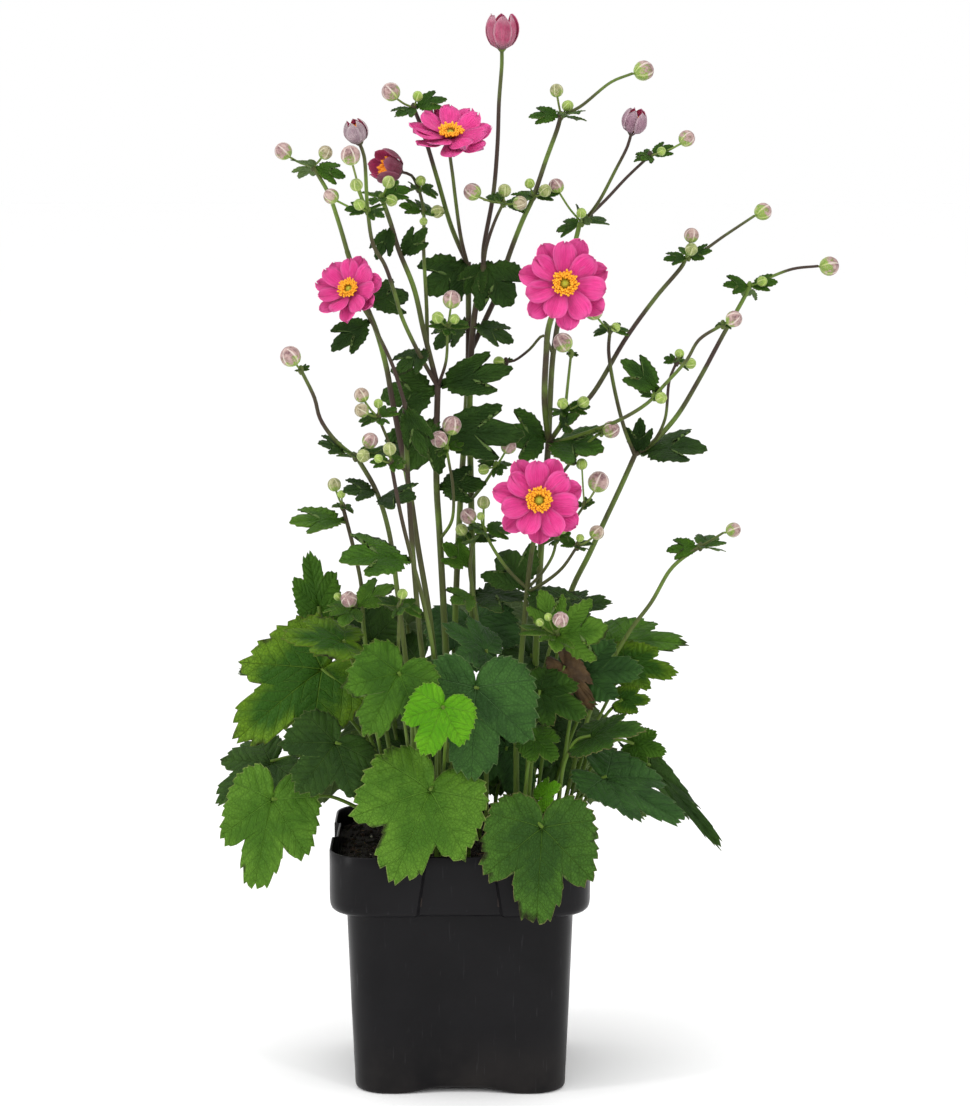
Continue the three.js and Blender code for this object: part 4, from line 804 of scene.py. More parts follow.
class Finish(Graph):
    """The graph of a new material with a Principled shader; constants go on the shader's own sockets."""

    def __init__(self, name, **constants):
        self.material = bpy.data.materials.new(name)
        self.material.use_nodes = True
        super().__init__(self.material.node_tree)
        self.shader = self.nodes["Principled BSDF"]
        for key, value in constants.items():
            self.shader.inputs[key.replace("_", " ").title().replace("Ior", "IOR")].default_value = value

    def mottle(self, patch_scale, grain_scale):
        outputs = self.group("Mottle", Patch_Scale=patch_scale, Grain_Scale=grain_scale)
        return outputs["Patches"], outputs["Grain"]

    def grained(self, grain, low, high):
        """A roughness between two values, as the grain has it."""
        return self.fade(grain, *GRAIN_SPAN, low, high)

    def close(self, colour, roughness, height, depth, strength=1.0):
        """Joins the colour, the roughness and a bump of so many millimetres, and gives the material."""
        bump = self.put("ShaderNodeBump", {"Height": height, "Distance": depth * MM, "Strength": strength})
        for title, value in (("Base Color", colour), ("Roughness", roughness), ("Normal", bump.outputs[0])):
            self.links.new(value, self.shader.inputs[title])
        return self.material


def paint(code):
    """A linear colour from a hex code in sRGB."""
    channels = [int(code[i:i + 2], 16) / 255 for i in (1, 3, 5)]
    return (*[c / 12.92 if c <= 0.04045 else ((c + 0.055) / 1.055) ** 2.4 for c in channels], 1)


# Shader groups

def new_group(name, inputs):
    """A shader group with a number socket for each input and its default."""
    tree = bpy.data.node_groups.new(name, "ShaderNodeTree")
    for title, default in inputs.items():
        socket = tree.interface.new_socket(title, in_out="INPUT", socket_type="NodeSocketFloat")
        socket.default_value = default
    graph = Graph(tree)
    return graph, graph.put("NodeGroupInput").outputs


def close_group(graph, **results):
    """Gives the group a number socket for each result."""
    for title in results:
        graph.tree.interface.new_socket(title, in_out="OUTPUT", socket_type="NodeSocketFloat")
    graph.put("NodeGroupOutput", results)
    return graph.tree


def mottle_group():
    """Soft patches and fine grain, 0 to 1. A larger scale makes them smaller."""
    graph, given = new_group("Mottle", {"Patch Scale": 60.0, "Grain Scale": 700.0})
    place = graph.place()
    patches = graph.noise(place, given["Patch Scale"], 4, 0.6)
    return close_group(graph, Patches=graph.fade(patches, 0.33, 0.67),
                       Grain=graph.noise(place, given["Grain Scale"], 2, 0.7))


def venation_group():
    """Veins of a lobed blade from its own (u, v) map: five that fan out of the base, the side veins that
    leave them, and the fine net between."""
    graph, given = new_group("Leaf veins", {"Side Veins": 7.0, "Width": 0.01})
    spot, u, v = graph.blade_spot()
    v = graph.unsigned(v)
    near, along = None, None
    for degrees in VEIN_ANGLES:
        c, s = math.cos(math.radians(degrees)), math.sin(math.radians(degrees))
        ahead = graph.plus(graph.times(u, c), graph.times(v, s))
        aside = graph.unsigned(graph.minus(graph.times(v, c), graph.times(u, s)))
        aside = graph.plus(aside, graph.math("LESS_THAN", ahead, 0.0))
        if near is None:
            near, along = aside, ahead
            continue
        closer = graph.math("LESS_THAN", aside, near)
        along = graph.plus(graph.times(ahead, closer), graph.times(along, graph.minus(1.0, closer)))
        near = graph.math("MINIMUM", near, aside)
    width = graph.times(given["Width"], graph.fade(along, 0.0, 1.0, 1.35, 0.35))
    main = graph.minus(1.0, graph.fade(near, 0.0, width))
    wobble = graph.times(graph.noise(spot, 9.0, 1), 0.35)
    phase = graph.times(graph.minus(along, graph.times(near, 0.95)), given["Side Veins"])
    ridge = graph.unsigned(graph.minus(graph.math("FRACT", graph.plus(phase, wobble)), 0.5))
    side = graph.times(graph.minus(1.0, graph.fade(ridge, 0.0, 0.08)), graph.fade(along, 0.02, 0.16))
    net = graph.put("ShaderNodeTexVoronoi", {"Vector": spot, "Scale": 26.0}, feature="DISTANCE_TO_EDGE")
    cells = graph.minus(1.0, graph.fade(net.outputs["Distance"], 0.0, 0.12))
    hollow = graph.larger(main, graph.times(side, 0.6))
    hollow = graph.larger(hollow, graph.times(cells, 0.25))
    swell = graph.fade(ridge, 0.0, 0.5, 0.0, 0.35)
    return close_group(graph, Main=main, Side=side, Net=cells, Height=graph.minus(swell, hollow))


def petal_group():
    """Fine streaks that run along a petal, and masks for its foot and its edge, from its own (u, v) map."""
    graph, given = new_group("Petal streaks", {"Fineness": 26.0})
    _, u, v = graph.blade_spot()
    stretched = graph.put("ShaderNodeCombineXYZ", {0: graph.times(u, 1.6),
                                                   1: graph.times(v, given["Fineness"])})
    moved = graph.put("ShaderNodeVectorMath", {0: stretched.outputs[0], 1: graph.attribute("tint")},
                      operation="ADD")
    return close_group(graph, Streaks=graph.fade(graph.noise(moved.outputs[0], 1.0, 2), 0.3, 0.7),
                       Foot=graph.fade(u, 0.32, 0.0), Edge=graph.fade(graph.attribute("rim"), 0.72, 1.0))


# Finishes

def shared(make):
    """Makes a finish the first time its name is asked for, and gives the same one after that."""
    def ask(name, *details):
        return bpy.data.materials.get(name) or make(name, *details)
    return ask


# How deep the patches and the tint of a blade go into its lighter colour
PATCH_SHARE = 0.7
# The stretch of the grain noise in which most of its values lie
GRAIN_SPAN = (0.2, 0.8)
# The fan of main veins, in degrees from a leaf's middle to each side
VEIN_ANGLES = (0, 51, 100)
# Upper face, lighter patches, veins, rim, and how far the lobe tips have browned
LEAF_TONES = {
    "dark": ("#213a11", "#37561a", "#4c6a2a", "#6f7a48", 0.25),
    "deep": ("#264412", "#3f641c", "#527628", "#8a7a54", 0.5),
    "bluish": ("#24421a", "#3b6227", "#527645", "#728458", 0.15),
    "mid": ("#305410", "#4c761c", "#5c8a28", "#84904e", 0.3),
    "fresh": ("#3a6014", "#588024", "#689834", "#949c5c", 0.35),
    "bright": ("#4a8a0a", "#68a618", "#82ba40", "#a0b05c", 0.1),
    "olive": ("#2a500e", "#587a16", "#628628", "#6a6030", 0.88),
}
BROWNED_TIP = "#1c160c"


@shared
def leaf_material(name, tone, browning):
    """Upper face of a leaf: patches, pale sunk veins, a thin darker rim and browned tips."""
    upper, light, vein, rim_colour, browned = LEAF_TONES[tone]
    finish = Finish(name, roughness=0.5, specular_ior_level=0.12)
    patches, grain = finish.mottle(38.0, 900.0)
    veins = finish.group("Leaf veins")
    rim = finish.attribute("rim")
    share = finish.plus(finish.times(patches, PATCH_SHARE), finish.attribute("tint"))
    share = finish.plus(share, finish.fade(rim, 0.3, 1.0, -0.8 * browned, 0.8 * browned), clamp=True)
    colour = finish.mix(share, paint(upper), paint(light))
    colour = finish.tinge(colour, upper, veins["Net"], 0.3)
    colour = finish.tinge(colour, vein, veins["Side"], 0.22)
    colour = finish.tinge(colour, vein, veins["Main"], 0.5)
    colour = finish.tinge(colour, rim_colour, finish.fade(rim, 0.975, 1.0), 0.5)
    burn = finish.fade(patches, 1.0 - browned * browning, 1.08)
    colour = finish.tinge(colour, BROWNED_TIP, finish.fade(rim, 0.84, 0.97), burn)
    height = finish.plus(veins["Height"], finish.times(grain, 0.15))
    return finish.close(colour, finish.grained(grain, 0.42, 0.6), height, 1.3)


@shared
def leaf_underside(name):
    """Lower face of every leaf: paler, duller, with its veins raised."""
    finish = Finish(name, roughness=0.7, specular_ior_level=0.15)
    patches, grain = finish.mottle(30.0, 800.0)
    veins = finish.group("Leaf veins")
    colour = finish.mix(patches, paint("#465c2c"), paint("#5a723a"))
    raised = finish.larger(veins["Main"], finish.times(veins["Side"], 0.5))
    colour = finish.mix(raised, colour, paint("#7f965c"))
    height = finish.times(veins["Height"], -1.0)
    return finish.close(colour, finish.grained(grain, 0.62, 0.78), height, 0.9, 0.7)


# Low down, high up and in the streaks of each kind of stalk
STALK_COLOURS = {
    "Stem": ("#5c7428", "#3a2c24", "#2c211a"),
    "Twig": ("#66842e", "#6c7a3a", "#54482e"),
    "Leaf stalk": ("#54701e", "#647232", "#4c3626"),
}


@shared
def stalk_material(name):
    """A stalk: green below, browner above, streaked along, with a dull bloom of short hairs."""
    low, high, streak = STALK_COLOURS[name]
    finish = Finish(name, roughness=0.55, specular_ior_level=0.25, sheen_weight=0.08, sheen_roughness=0.4)
    place = finish.place()
    streaks = finish.noise(finish.stretched_place(place, (1, 1, 0.12)), 420.0, 3)
    patches = finish.noise(place, 16.0, 3)
    rise = finish.times(finish.fade(finish.axes(place)[2], 0.22, 0.45), finish.fade(patches, 0.36, 0.58))
    colour = finish.mix(rise, paint(low), paint(high))
    colour = finish.tinge(colour, streak, finish.fade(streaks, 0.5, 0.75), 0.5)
    return finish.close(colour, finish.fade(patches, 0.3, 0.7, 0.45, 0.65), streaks, 0.25, 0.8)


@shared
def bud_material(name, mauve_code):
    """A closed bud: lime where it is young, mauve and silver-haired where it has grown, with pale seams."""
    finish = Finish(name, roughness=0.6, specular_ior_level=0.25, sheen_weight=0.15, sheen_roughness=0.45)
    patches, grain = finish.mottle(260.0, 1500.0)
    _, u, v = finish.blade_spot()
    seam = finish.fade(finish.unsigned(finish.minus(finish.math("FRACT", u), 0.5)), 0.13, 0.02)
    lime = finish.mix(patches, paint("#6c8a28"), paint("#8eaa3e"))
    mauve = finish.mix(patches, paint(mauve_code), paint("#b0928c"))
    rise = finish.plus(v, finish.fade(patches, 0.0, 1.0, -0.16, 0.16))
    grown_part = finish.times(finish.fade(rise, 0.28, 0.56), finish.attribute("ripeness"))
    colour = finish.mix(grown_part, lime, mauve)
    colour = finish.tinge(colour, "#cfc4bc", finish.fade(grain, 0.45, 0.7), 0.3)
    pale = finish.mix(grown_part, paint("#b9c47c"), paint("#d3c6bc"))
    colour = finish.mix(finish.times(seam, 0.8), colour, pale)
    return finish.close(colour, finish.grained(grain, 0.5, 0.75), grain, 0.3, 0.6)


# Tip, foot, edge and streaks of each petal finish, and its roughness
PETAL_COLOURS = {
    "Pink petal": ("#f23f98", "#a01458", "#f262aa", "#cc2274", 0.5),
    "Petal back": ("#cf4a8c", "#8f2a60", "#dc7aac", "#a83070", 0.6),
    "Cup lining": ("#d8437f", "#8c2340", "#e06a9a", "#b8306a", 0.5),
    "Cup petal tall": ("#c0406e", "#76525c", "#dcaebc", "#7c2644", 0.55),
    "Cup petal dark": ("#7a1c3c", "#3f0f1c", "#b06a80", "#5a1830", 0.55),
    "Cup petal pale_left": ("#a8909a", "#84706c", "#d8c8c8", "#7c5668", 0.55),
    "Cup petal pale_right": ("#a47e90", "#7c6270", "#d6bcc4", "#703e56", 0.55),
}


@shared
def petal_material(name):
    """A petal: fine darker streaks along it, a deeper foot and a tinted edge."""
    tip, foot, edge, streak, roughness = PETAL_COLOURS[name]
    finish = Finish(name, roughness=roughness, sheen_weight=0.08, sheen_roughness=0.5, specular_ior_level=0.2)
    petal = finish.group("Petal streaks")
    patches, grain = finish.mottle(90.0, 1200.0)
    colour = finish.tinge(paint(tip), streak, petal["Streaks"], 0.75)
    colour = finish.tinge(colour, edge, patches, 0.3)
    colour = finish.tinge(colour, edge, petal["Edge"], 0.6)
    colour = finish.tinge(colour, foot, petal["Foot"], 0.8)
    return finish.close(colour, finish.grained(grain, roughness - 0.08, roughness + 0.1),
                        finish.plus(petal["Streaks"], grain), 0.5, 0.9)


# Dark and light tone, roughness, scale of the patches and depth of the grain in millimetres
GRAINY_FINISHES = {
    "Stamen": ("#e8950c", "#fcc52a", 0.7, 900, 0.15),
    "Young stamen": ("#d9780a", "#f2a012", 0.7, 900, 0.15),
    "Flower middle": ("#8f9a1c", "#c9b52a", 0.6, 1200, 0.3),
    "Dry leaf": ("#3a2810", "#624a26", 0.85, 90, 0.5),
    "Pale specks": ("#b7aea0", "#d8d2c6", 0.8, 400, 0.3),
    "Peat fibres": ("#4a3220", "#8a6844", 0.85, 300, 0.2),
}


@shared
def grainy_material(name):
    """A plain two-tone finish with grain, for stamens, flower middles, crumbs and dry leaf."""
    dark, light, roughness, scale, depth = GRAINY_FINISHES[name]
    finish = Finish(name, roughness=roughness)
    patches, grain = finish.mottle(scale, scale * 5)
    share = finish.plus(finish.times(patches, PATCH_SHARE), finish.attribute("tint"), clamp=True)
    return finish.close(finish.mix(share, paint(dark), paint(light)),
                        finish.grained(grain, roughness - 0.1, min(1.0, roughness + 0.1)), grain, depth, 0.8)


def pot_material(settings):
    """Moulded black plastic: satin, faintly dimpled, with scuffs, fine scratches and a film of dust."""
    finish = Finish("Pot plastic", roughness=0.4, specular_ior_level=0.13)
    patches, grain = finish.mottle(14.0, 1600.0)
    place = finish.place()
    drawn = finish.stretched_place(place, (1, 1, 0.06), (0.3, 0.2, 0.0))
    scratches = finish.fade(finish.noise(drawn, 520.0, 2), 0.66, 0.74)
    dust = finish.times(finish.fade(finish.axes(place)[2], 0.05, 0.0, 0.0, 0.5), patches)
    colour = finish.mix(patches, tuple(settings.pot_colour) + (1,), paint("#111012"))
    colour = finish.tinge(colour, "#3a393c", scratches, 0.25)
    colour = finish.mix(dust, colour, paint("#2c2825"))
    polish = finish.fade(patches, 0.0, 1.0, settings.pot_roughness - 0.05, settings.pot_roughness + 0.07)
    height = finish.plus(finish.times(grain, 0.6), finish.times(scratches, -0.5))
    return finish.close(colour, finish.plus(polish, finish.times(dust, 0.3)), height, 0.12, 0.5)


def peat_material():
    """Moist peat: near black, with brown fibres and pale specks."""
    finish = Finish("Peat", roughness=0.92)
    patches, grain = finish.mottle(120.0, 600.0)
    place = finish.place()
    specks = finish.put("ShaderNodeTexVoronoi", {"Vector": place, "Scale": 260.0}).outputs["Distance"]
    fibres = finish.noise(finish.stretched_place(place, (1, 0.15, 1), (0, 0, 0.7)), 300.0, 2)
    fibres = finish.fade(fibres, 0.6, 0.7)
    colour = finish.mix(patches, paint("#150f0c"), paint("#2a1e17"))
    colour = finish.tinge(colour, "#5a3f2a", fibres, 0.5)
    colour = finish.mix(finish.fade(specks, 0.1, 0.06), colour, paint("#8d8478"))
    return finish.close(colour, finish.grained(grain, 0.8, 1.0), finish.plus(grain, fibres), 1.2, 0.9)


# Geometry nodes

def new_geometry_tree(name, inputs):
    tree = bpy.data.node_groups.new(name, "GeometryNodeTree")
    for title, kind in {"Geometry": "Geometry", **inputs}.items():
        tree.interface.new_socket(title, in_out="INPUT", socket_type="NodeSocket" + kind)
    tree.interface.new_socket("Geometry", in_out="OUTPUT", socket_type="NodeSocketGeometry")
    graph = Graph(tree)
    return graph, graph.put("NodeGroupInput").outputs


def close_tree(graph, geometry, material):
    """Instances made real and the material set, at the end of every tree."""
    real = graph.put("GeometryNodeRealizeInstances", {"Geometry": geometry}).outputs[0]
    dressed = graph.put("GeometryNodeSetMaterial", {"Geometry": real, "Material": material}).outputs[0]
    graph.put("NodeGroupOutput", {"Geometry": dressed})
    return graph.tree


def set_on_points(graph, given, points, rotation, size):
    """The tree's form on every point, turned and sized, and the tree closed."""
    form = graph.put("GeometryNodeObjectInfo", {"Object": given["Form"]}).outputs["Geometry"]
    placed = graph.put("GeometryNodeInstanceOnPoints", {"Points": points, "Instance": form,
                                                        "Rotation": rotation, "Scale": size})
    return close_tree(graph, placed.outputs[0], given["Material"])


def tube_tree():
    """Tubes that follow curves, as thick as each point of the curve says."""
    graph, given = new_geometry_tree("Stalk tubes", {"Sides": "Int", "Material": "Material"})
    section = graph.put("GeometryNodeCurvePrimitiveCircle", {"Resolution": given["Sides"], "Radius": 1.0})
    thickness = graph.put("GeometryNodeInputRadius").outputs[0]
    tubes = graph.put("GeometryNodeCurveToMesh", {"Curve": given["Geometry"], "Scale": thickness,
                                                  "Profile Curve": section.outputs[0], "Fill Caps": True})
    smooth = graph.put("GeometryNodeSetShadeSmooth", {"Geometry": tubes.outputs[0]}).outputs[0]
    return close_tree(graph, smooth, given["Material"])


def sprig_tree():
    """A small form set on every point, along the point's aim and as large as its size, turned by chance."""
    graph, given = new_geometry_tree("Small forms", {"Form": "Object", "Seed": "Int", "Material": "Material"})
    aim = graph.put("GeometryNodeInputNamedAttribute", {"Name": "aim"}, data_type="FLOAT_VECTOR").outputs[0]
    size = graph.put("GeometryNodeInputNamedAttribute", {"Name": "size"}).outputs[0]
    turn = graph.put("FunctionNodeRandomValue", {2: 0.0, 3: 2 * math.pi, "Seed": given["Seed"]},
                     data_type="FLOAT")
    spin = graph.put("FunctionNodeAxisAngleToRotation", {"Axis": (0, 0, 1), "Angle": turn.outputs[1]})
    lean = graph.put("FunctionNodeAlignRotationToVector", {"Vector": aim}, axis="Z")
    both = graph.put("FunctionNodeRotateRotation", {0: lean.outputs[0], 1: spin.outputs[0]},
                     rotation_space="LOCAL")
    return set_on_points(graph, given, given["Geometry"], both.outputs[0], size)


def crumb_tree():
    """Crumbs strewn over a surface by chance, in many sizes."""
    graph, given = new_geometry_tree("Strewn crumbs", {
        "Form": "Object", "Density": "Float", "Largest": "Float", "Seed": "Int", "Material": "Material"})
    strewn = graph.put("GeometryNodeDistributePointsOnFaces", {
        "Mesh": given["Geometry"], "Seed": given["Seed"], "Density": given["Density"]})
    size = graph.put("FunctionNodeRandomValue", {2: SMALLEST_CRUMB, 3: 1.0, "Seed": given["Seed"]},
                     data_type="FLOAT")
    squared = graph.times(graph.math("POWER", size.outputs[1], 2.0), given["Largest"])
    turn = graph.put("FunctionNodeRandomValue", {1: (6.283, 6.283, 6.283), "Seed": given["Seed"]},
                     data_type="FLOAT_VECTOR")
    rotation = graph.put("FunctionNodeEulerToRotation", {0: turn.outputs[0]})
    return set_on_points(graph, given, strewn.outputs[0], rotation.outputs[0], squared)


def grown(name, source, tree_name, **inputs):
    """A plain mesh piece from a source object and a geometry tree with these inputs."""
    makers = {"Stalk tubes": tube_tree, "Small forms": sprig_tree, "Strewn crumbs": crumb_tree}
    tree = bpy.data.node_groups.get(tree_name) or makers[tree_name]()
    modifier = source.modifiers.new(tree_name, "NODES")
    modifier.node_group = tree
    sockets = {item.name: item.identifier for item in tree.interface.items_tree
               if item.item_type == "SOCKET" and item.in_out == "INPUT"}
    for title, value in inputs.items():
        modifier[sockets[title]] = value
    mesh = bpy.data.meshes.new_from_object(source.evaluated_get(bpy.context.evaluated_depsgraph_get()))
    mesh.name = name
    bpy.data.objects.remove(source)
    return linked(name, mesh)


def curve_source(name, routes):
    """A curve object with one line for each (points, radii), in millimetres."""
    data = bpy.data.curves.new(name, "CURVE")
    data.dimensions = "3D"
    for points, radii in routes:
        line = data.splines.new("POLY")
        line.points.add(len(points) - 1)
        for knot, point, radius in zip(line.points, points, radii):
            knot.co = (*(point * MM), 1)
            knot.radius = radius * MM
    return linked(name + "_route", data)


def marked_points(name, places):
    """Loose points from (point, aim, size, ripeness), in millimetres."""
    mesh = bpy.data.meshes.new(name + "_places")
    mesh.from_pydata([place[0] * MM for place in places], [], [])
    mesh.attributes.new("aim", "FLOAT_VECTOR", "POINT").data.foreach_set(
        "vector", [c for place in places for c in place[1]])
    for title, column in (("size", 2), ("ripeness", 3)):
        mesh.attributes.new(title, "FLOAT", "POINT").data.foreach_set("value", [p[column] for p in places])
    return linked(name + "_places", mesh)


# Forms

def basal_outline(chance):
    """The toothed rim of a basal leaf as (u, v), with its base at (0, 0) and its tip at u = 1."""
    rim = []
    skew, coarse_size, phase = chance.uniform(-0.06, 0.06), chance.uniform(0.015, 0.04), any_turn(chance)
    for i in range(RIM_STEPS):
        angle = 360 * i / RIM_STEPS
        angle -= 360 if angle > 180 else 0
        coarse = math.cos(math.radians(angle * LEAF_TEETH) + phase)
        saw = (-min(i, RIM_STEPS - i) % 4) / 3 - 0.5
        reach = between(LOBE_POINTS, abs(angle)) * (1 + coarse_size * coarse + LEAF_TOOTH * saw)
        rim.append((reach * math.cos(math.radians(angle)),
                    reach * math.sin(math.radians(angle)) * (1 + skew * (1 if angle > 0 else -1))))
    return rim


def stem_leaf_outline():
    """The rim of a stem leaf: its corners joined by slightly full, toothed edges."""
    rim = []
    corners = STEM_LEAF_CORNERS
    for (u, v), (s, t) in zip(corners, corners[1:] + corners[:1]):
        length = math.hypot(s - u, t - v)
        outward = ((t - v) / length, (u - s) / length)
        for i in range(EDGE_STEPS):
            share = i / EDGE_STEPS
            full = 0.1 * math.sin(math.pi * share) * length + (STEM_LEAF_TOOTH if i % 2 else 0)
            rim.append((u + (s - u) * share + outward[0] * full, v + (t - v) * share + outward[1] * full))
    return rim


def add_blade(shape, root, along, length, width, facing, rim, middle, bend, chance, rows, ruffle, tint,
              marked=1.0):
    """A leaf blade as a fan of rows from its middle to its rim. bend(u, v) is its fall in millimetres."""
    across, normal = blade_directions(along, facing)
    phase, count = any_turn(chance), chance.choice((4, 5, 6))
    curl = chance.uniform(-0.03, 0.05)

    def place(u, v, share):
        x, y = u * length, v * width
        angle = math.atan2(v, u)
        fold = 0.05 * abs(y) - bend(x, y)
        valley = sum(math.exp(-((u * math.sin(a) - v * marked * math.cos(a)) / 0.05) ** 2)
                     for a in (0, 0.89, -0.89)) * 0.02 * length * min(1, 3 * share)
        wave = ruffle * length * share ** 3 * math.sin(count * angle + phase)
        roll = curl * length * max(0, u - 0.5) ** 2 * 4
        return root + along * x + across * y + normal * (fold - valley + wave - roll)

    centre = [shape.add_point(place(*middle, 0), (middle[0], middle[1] * marked), 0, tint)]
    table = [centre]
    for row in range(1, rows + 1):
        share = (row / rows) ** 0.85
        table.append([])
        for u, v in reversed(rim):
            s, t = middle[0] + (u - middle[0]) * share, middle[1] + (v - middle[1]) * share
            table[-1].append(shape.add_point(place(s, t, share), (s, t * marked), share, tint))
    shape.add_rows(table, closed=True)


def add_basal_blade(shape, root, tip, width, facing, chance, droop=LEAF_DROOP, ruffle=0.026):
    """A three-lobed blade of a leaf that grows from the soil."""
    length = (tip - root).length
    add_blade(shape, root, (tip - root).normalized(), length, width / LEAF_SPAN, facing,
              basal_outline(chance), (LEAF_MIDDLE, 0), lambda x, y: droop * (x * x + y * y) / length, chance,
              rows=10, ruffle=ruffle, tint=chance.uniform(-0.12, 0.12))


def add_stem_leaf(shape, root, along, length, width, facing, chance, rows=4):
    """A three-lobed toothed leaf that grows straight out of a stem."""
    add_blade(shape, root, along, length, width, facing, stem_leaf_outline(), (0.45, 0),
              lambda x, y: STEM_LEAF_DROOP * x * x / length, chance, rows=rows, ruffle=0.03, marked=1.5,
              tint=chance.uniform(-0.2, 0.25))


def add_whorl(shape, joint, size, turn, chance):
    """Three leaflets round a joint of the stem."""
    for step in (0, 120, 240):
        angle = math.radians(turn + step)
        outward = Vector((math.cos(angle), math.sin(angle), 0))
        length = size * (1.25 if step == 0 else 1.1)
        along = (outward + UP * chance.uniform(-0.25, 0.7)).normalized()
        facing = (chance.uniform(-0.5, 0.5), -0.6, 0.7)
        add_stem_leaf(shape, joint + outward * 0.6, along, length, 0.72 * length, facing, chance, rows=3)


def round_form(profile, columns, marks=1, dent=None):
    """A turned form along +Z from (radius, height) pairs; dent(turn, share) presses its side in."""
    shape = Shape()
    table = []
    for i, (radius, height) in enumerate(profile):
        share = i / (len(profile) - 1)
        if radius == 0:
            table.append([shape.add_point(Vector((0, 0, height)), (0, share))])
            continue
        row = []
        for j in range(columns):
            turn = j / columns
            reach = radius * (1 - (dent(turn, share) if dent else 0))
            angle = 2 * math.pi * turn
            spot = Vector((reach * math.cos(angle), reach * math.sin(angle), height))
            row.append(shape.add_point(spot, (turn * marks, share)))
        table.append(row)
    shape.add_rows(table, closed=True)
    return shape


def bud_form():
    """A round bud of 1 millimetre radius: five overlapping sepals with a seam between each."""
    profile = [(math.sin(math.pi * i / 10) * (1.0 if 0 < i < 10 else 0), -math.cos(math.pi * i / 10))
               for i in range(11)]

    def seam(turn, share):
        off = abs((turn * 5 + 0.35 * share) % 1 - 0.5)
        return 0.09 * math.exp(-(off / 0.12) ** 2) * math.sin(math.pi * share)

    return round_form(profile, 20, marks=5, dent=seam)


def stamen_form():
    """A stamen 1 millimetre tall: a thread and its anther."""
    return round_form([(0, 0), (0.035, 0.01), (0.03, 0.62), (0.105, 0.68), (0.12, 0.85), (0, 1)], 5)


def crumb_form():
    """A crumb of peat of 1 millimetre."""
    chance = random.Random(5)
    shape = round_form([(0, -0.8), (0.8, -0.45), (1, 0.1), (0.7, 0.6), (0, 0.85)], 6)
    for point in shape.points:
        point *= chance.uniform(0.75, 1.2)
    return shape


def add_petal(shape, place, widths, columns, tint):
    """A petal as rows from foot to tip. place(u, v, edge) is a point of its middle surface, with edge from
    -1 to 1 across it, and widths tells its half width."""
    table = []
    for i in range(PETAL_ROWS + 1):
        u = 1 - (1 - i / PETAL_ROWS) ** 1.25
        half = between(widths, u)
        row = []
        for j in range(columns, -columns - 1, -1):
            edge = j / columns
            spot = place(u, half * j / columns, edge)
            row.append(shape.add_point(spot, (u, edge), max(u, abs(edge)), tint))
        table.append(row)
    shape.add_rows(table, closed=False)


def open_petals(seat, radius, facing, seed):
    """Two layers of petals, each lifted at one edge so that it lies over its neighbour."""
    draw = seeded_draws(seed)
    chance = random.Random(seed)
    toward = Vector(facing).normalized()
    side, top = cross_directions(toward)
    centre = seen(seat) + toward * RECEPTACLE_DEPTH
    shape = Shape()
    for layer in (0, 1):
        for i in range(PETALS_PER_LAYER):
            angle = 2 * math.pi * (i + 0.5 * layer) / PETALS_PER_LAYER + 0.12 * (next(draw) - 0.5)
            reach = radius * (INNER_LAYER if layer else 1) * (0.93 + 0.1 * next(draw))
            outward = around(side, top, angle)
            across = toward.cross(outward)
            cup, wave = chance.uniform(0.02, 0.1), any_turn(chance)
            notch, bow = chance.uniform(0, 0.05), chance.uniform(-0.03, 0.03)

            def place(u, v, edge):
                tip = notch * max(0, 1 - 3 * abs(edge - 0.15)) * smooth_step(0.8, 1, u)
                ruffle = radius * u * (0.034 * math.sin(4 * edge + wave) + 0.024 * math.sin(7 * u + wave)
                                       - 0.045 * math.exp(-(edge / 0.22) ** 2))
                return (centre + outward * (PETAL_ROOT + (reach - PETAL_ROOT) * (u - tip))
                        + across * (v + bow * u * u) * radius
                        + toward * (layer * (0.9 + 3.2 * u) + PETAL_RISE * radius * u * u
                                    + PETAL_TWIST * v * radius + cup * radius * edge * edge * u + ruffle))

            add_petal(shape, place, PETAL_WIDTHS, 4, chance.random())
    return shape


def cup_petals(seat, radius, height, facing, closing, chance):
    """Petals that stand in a cup round the top of the stalk."""
    toward = Vector(facing).normalized()
    side, top = cross_directions(toward)
    foot = seen(seat)
    shape = Shape()
    for i in range(CUP_PETALS):
        layer = CUP_INNER_LAYER if i % 2 else 1
        wave = any_turn(chance)

        def place(u, v, edge):
            angle = 2 * math.pi * i / CUP_PETALS - v * CUP_SPREAD
            reach = radius * layer * (0.15 + 1.35 * math.sqrt(u) * (1 - closing * u * u))
            reach += 0.05 * radius * (edge * u + 0.5 * math.sin(3 * edge + wave) * u)
            return (foot + toward * (CUP_FOOT + (height - CUP_FOOT) * u) + side * reach * math.cos(angle)
                    + top * reach * math.sin(angle))

        add_petal(shape, place, CUP_WIDTHS, 5, chance.random())
    return shape


def stamen_places(centre, toward, radius, count, chance, spread=1.0, stretch=1.0):
    """Where the stamens of a bloom stand: (point, aim, size, ripeness) for each."""
    side, top = cross_directions(toward)
    places = []
    for i in range(count):
        share = 0.35 + 0.65 * (i + 0.5) / count
        outward = around(side, top, i * GOLDEN_ANGLE)
        lean = (0.25 + 0.85 * share) * spread
        aim = (toward + outward * lean * chance.uniform(0.85, 1.15)).normalized()
        foot = centre + outward * radius * 0.13 * share
        size = radius * (0.19 + 0.06 * share) * chance.uniform(0.85, 1.1) * stretch
        places.append((foot, aim, size, 1.0))
    return places


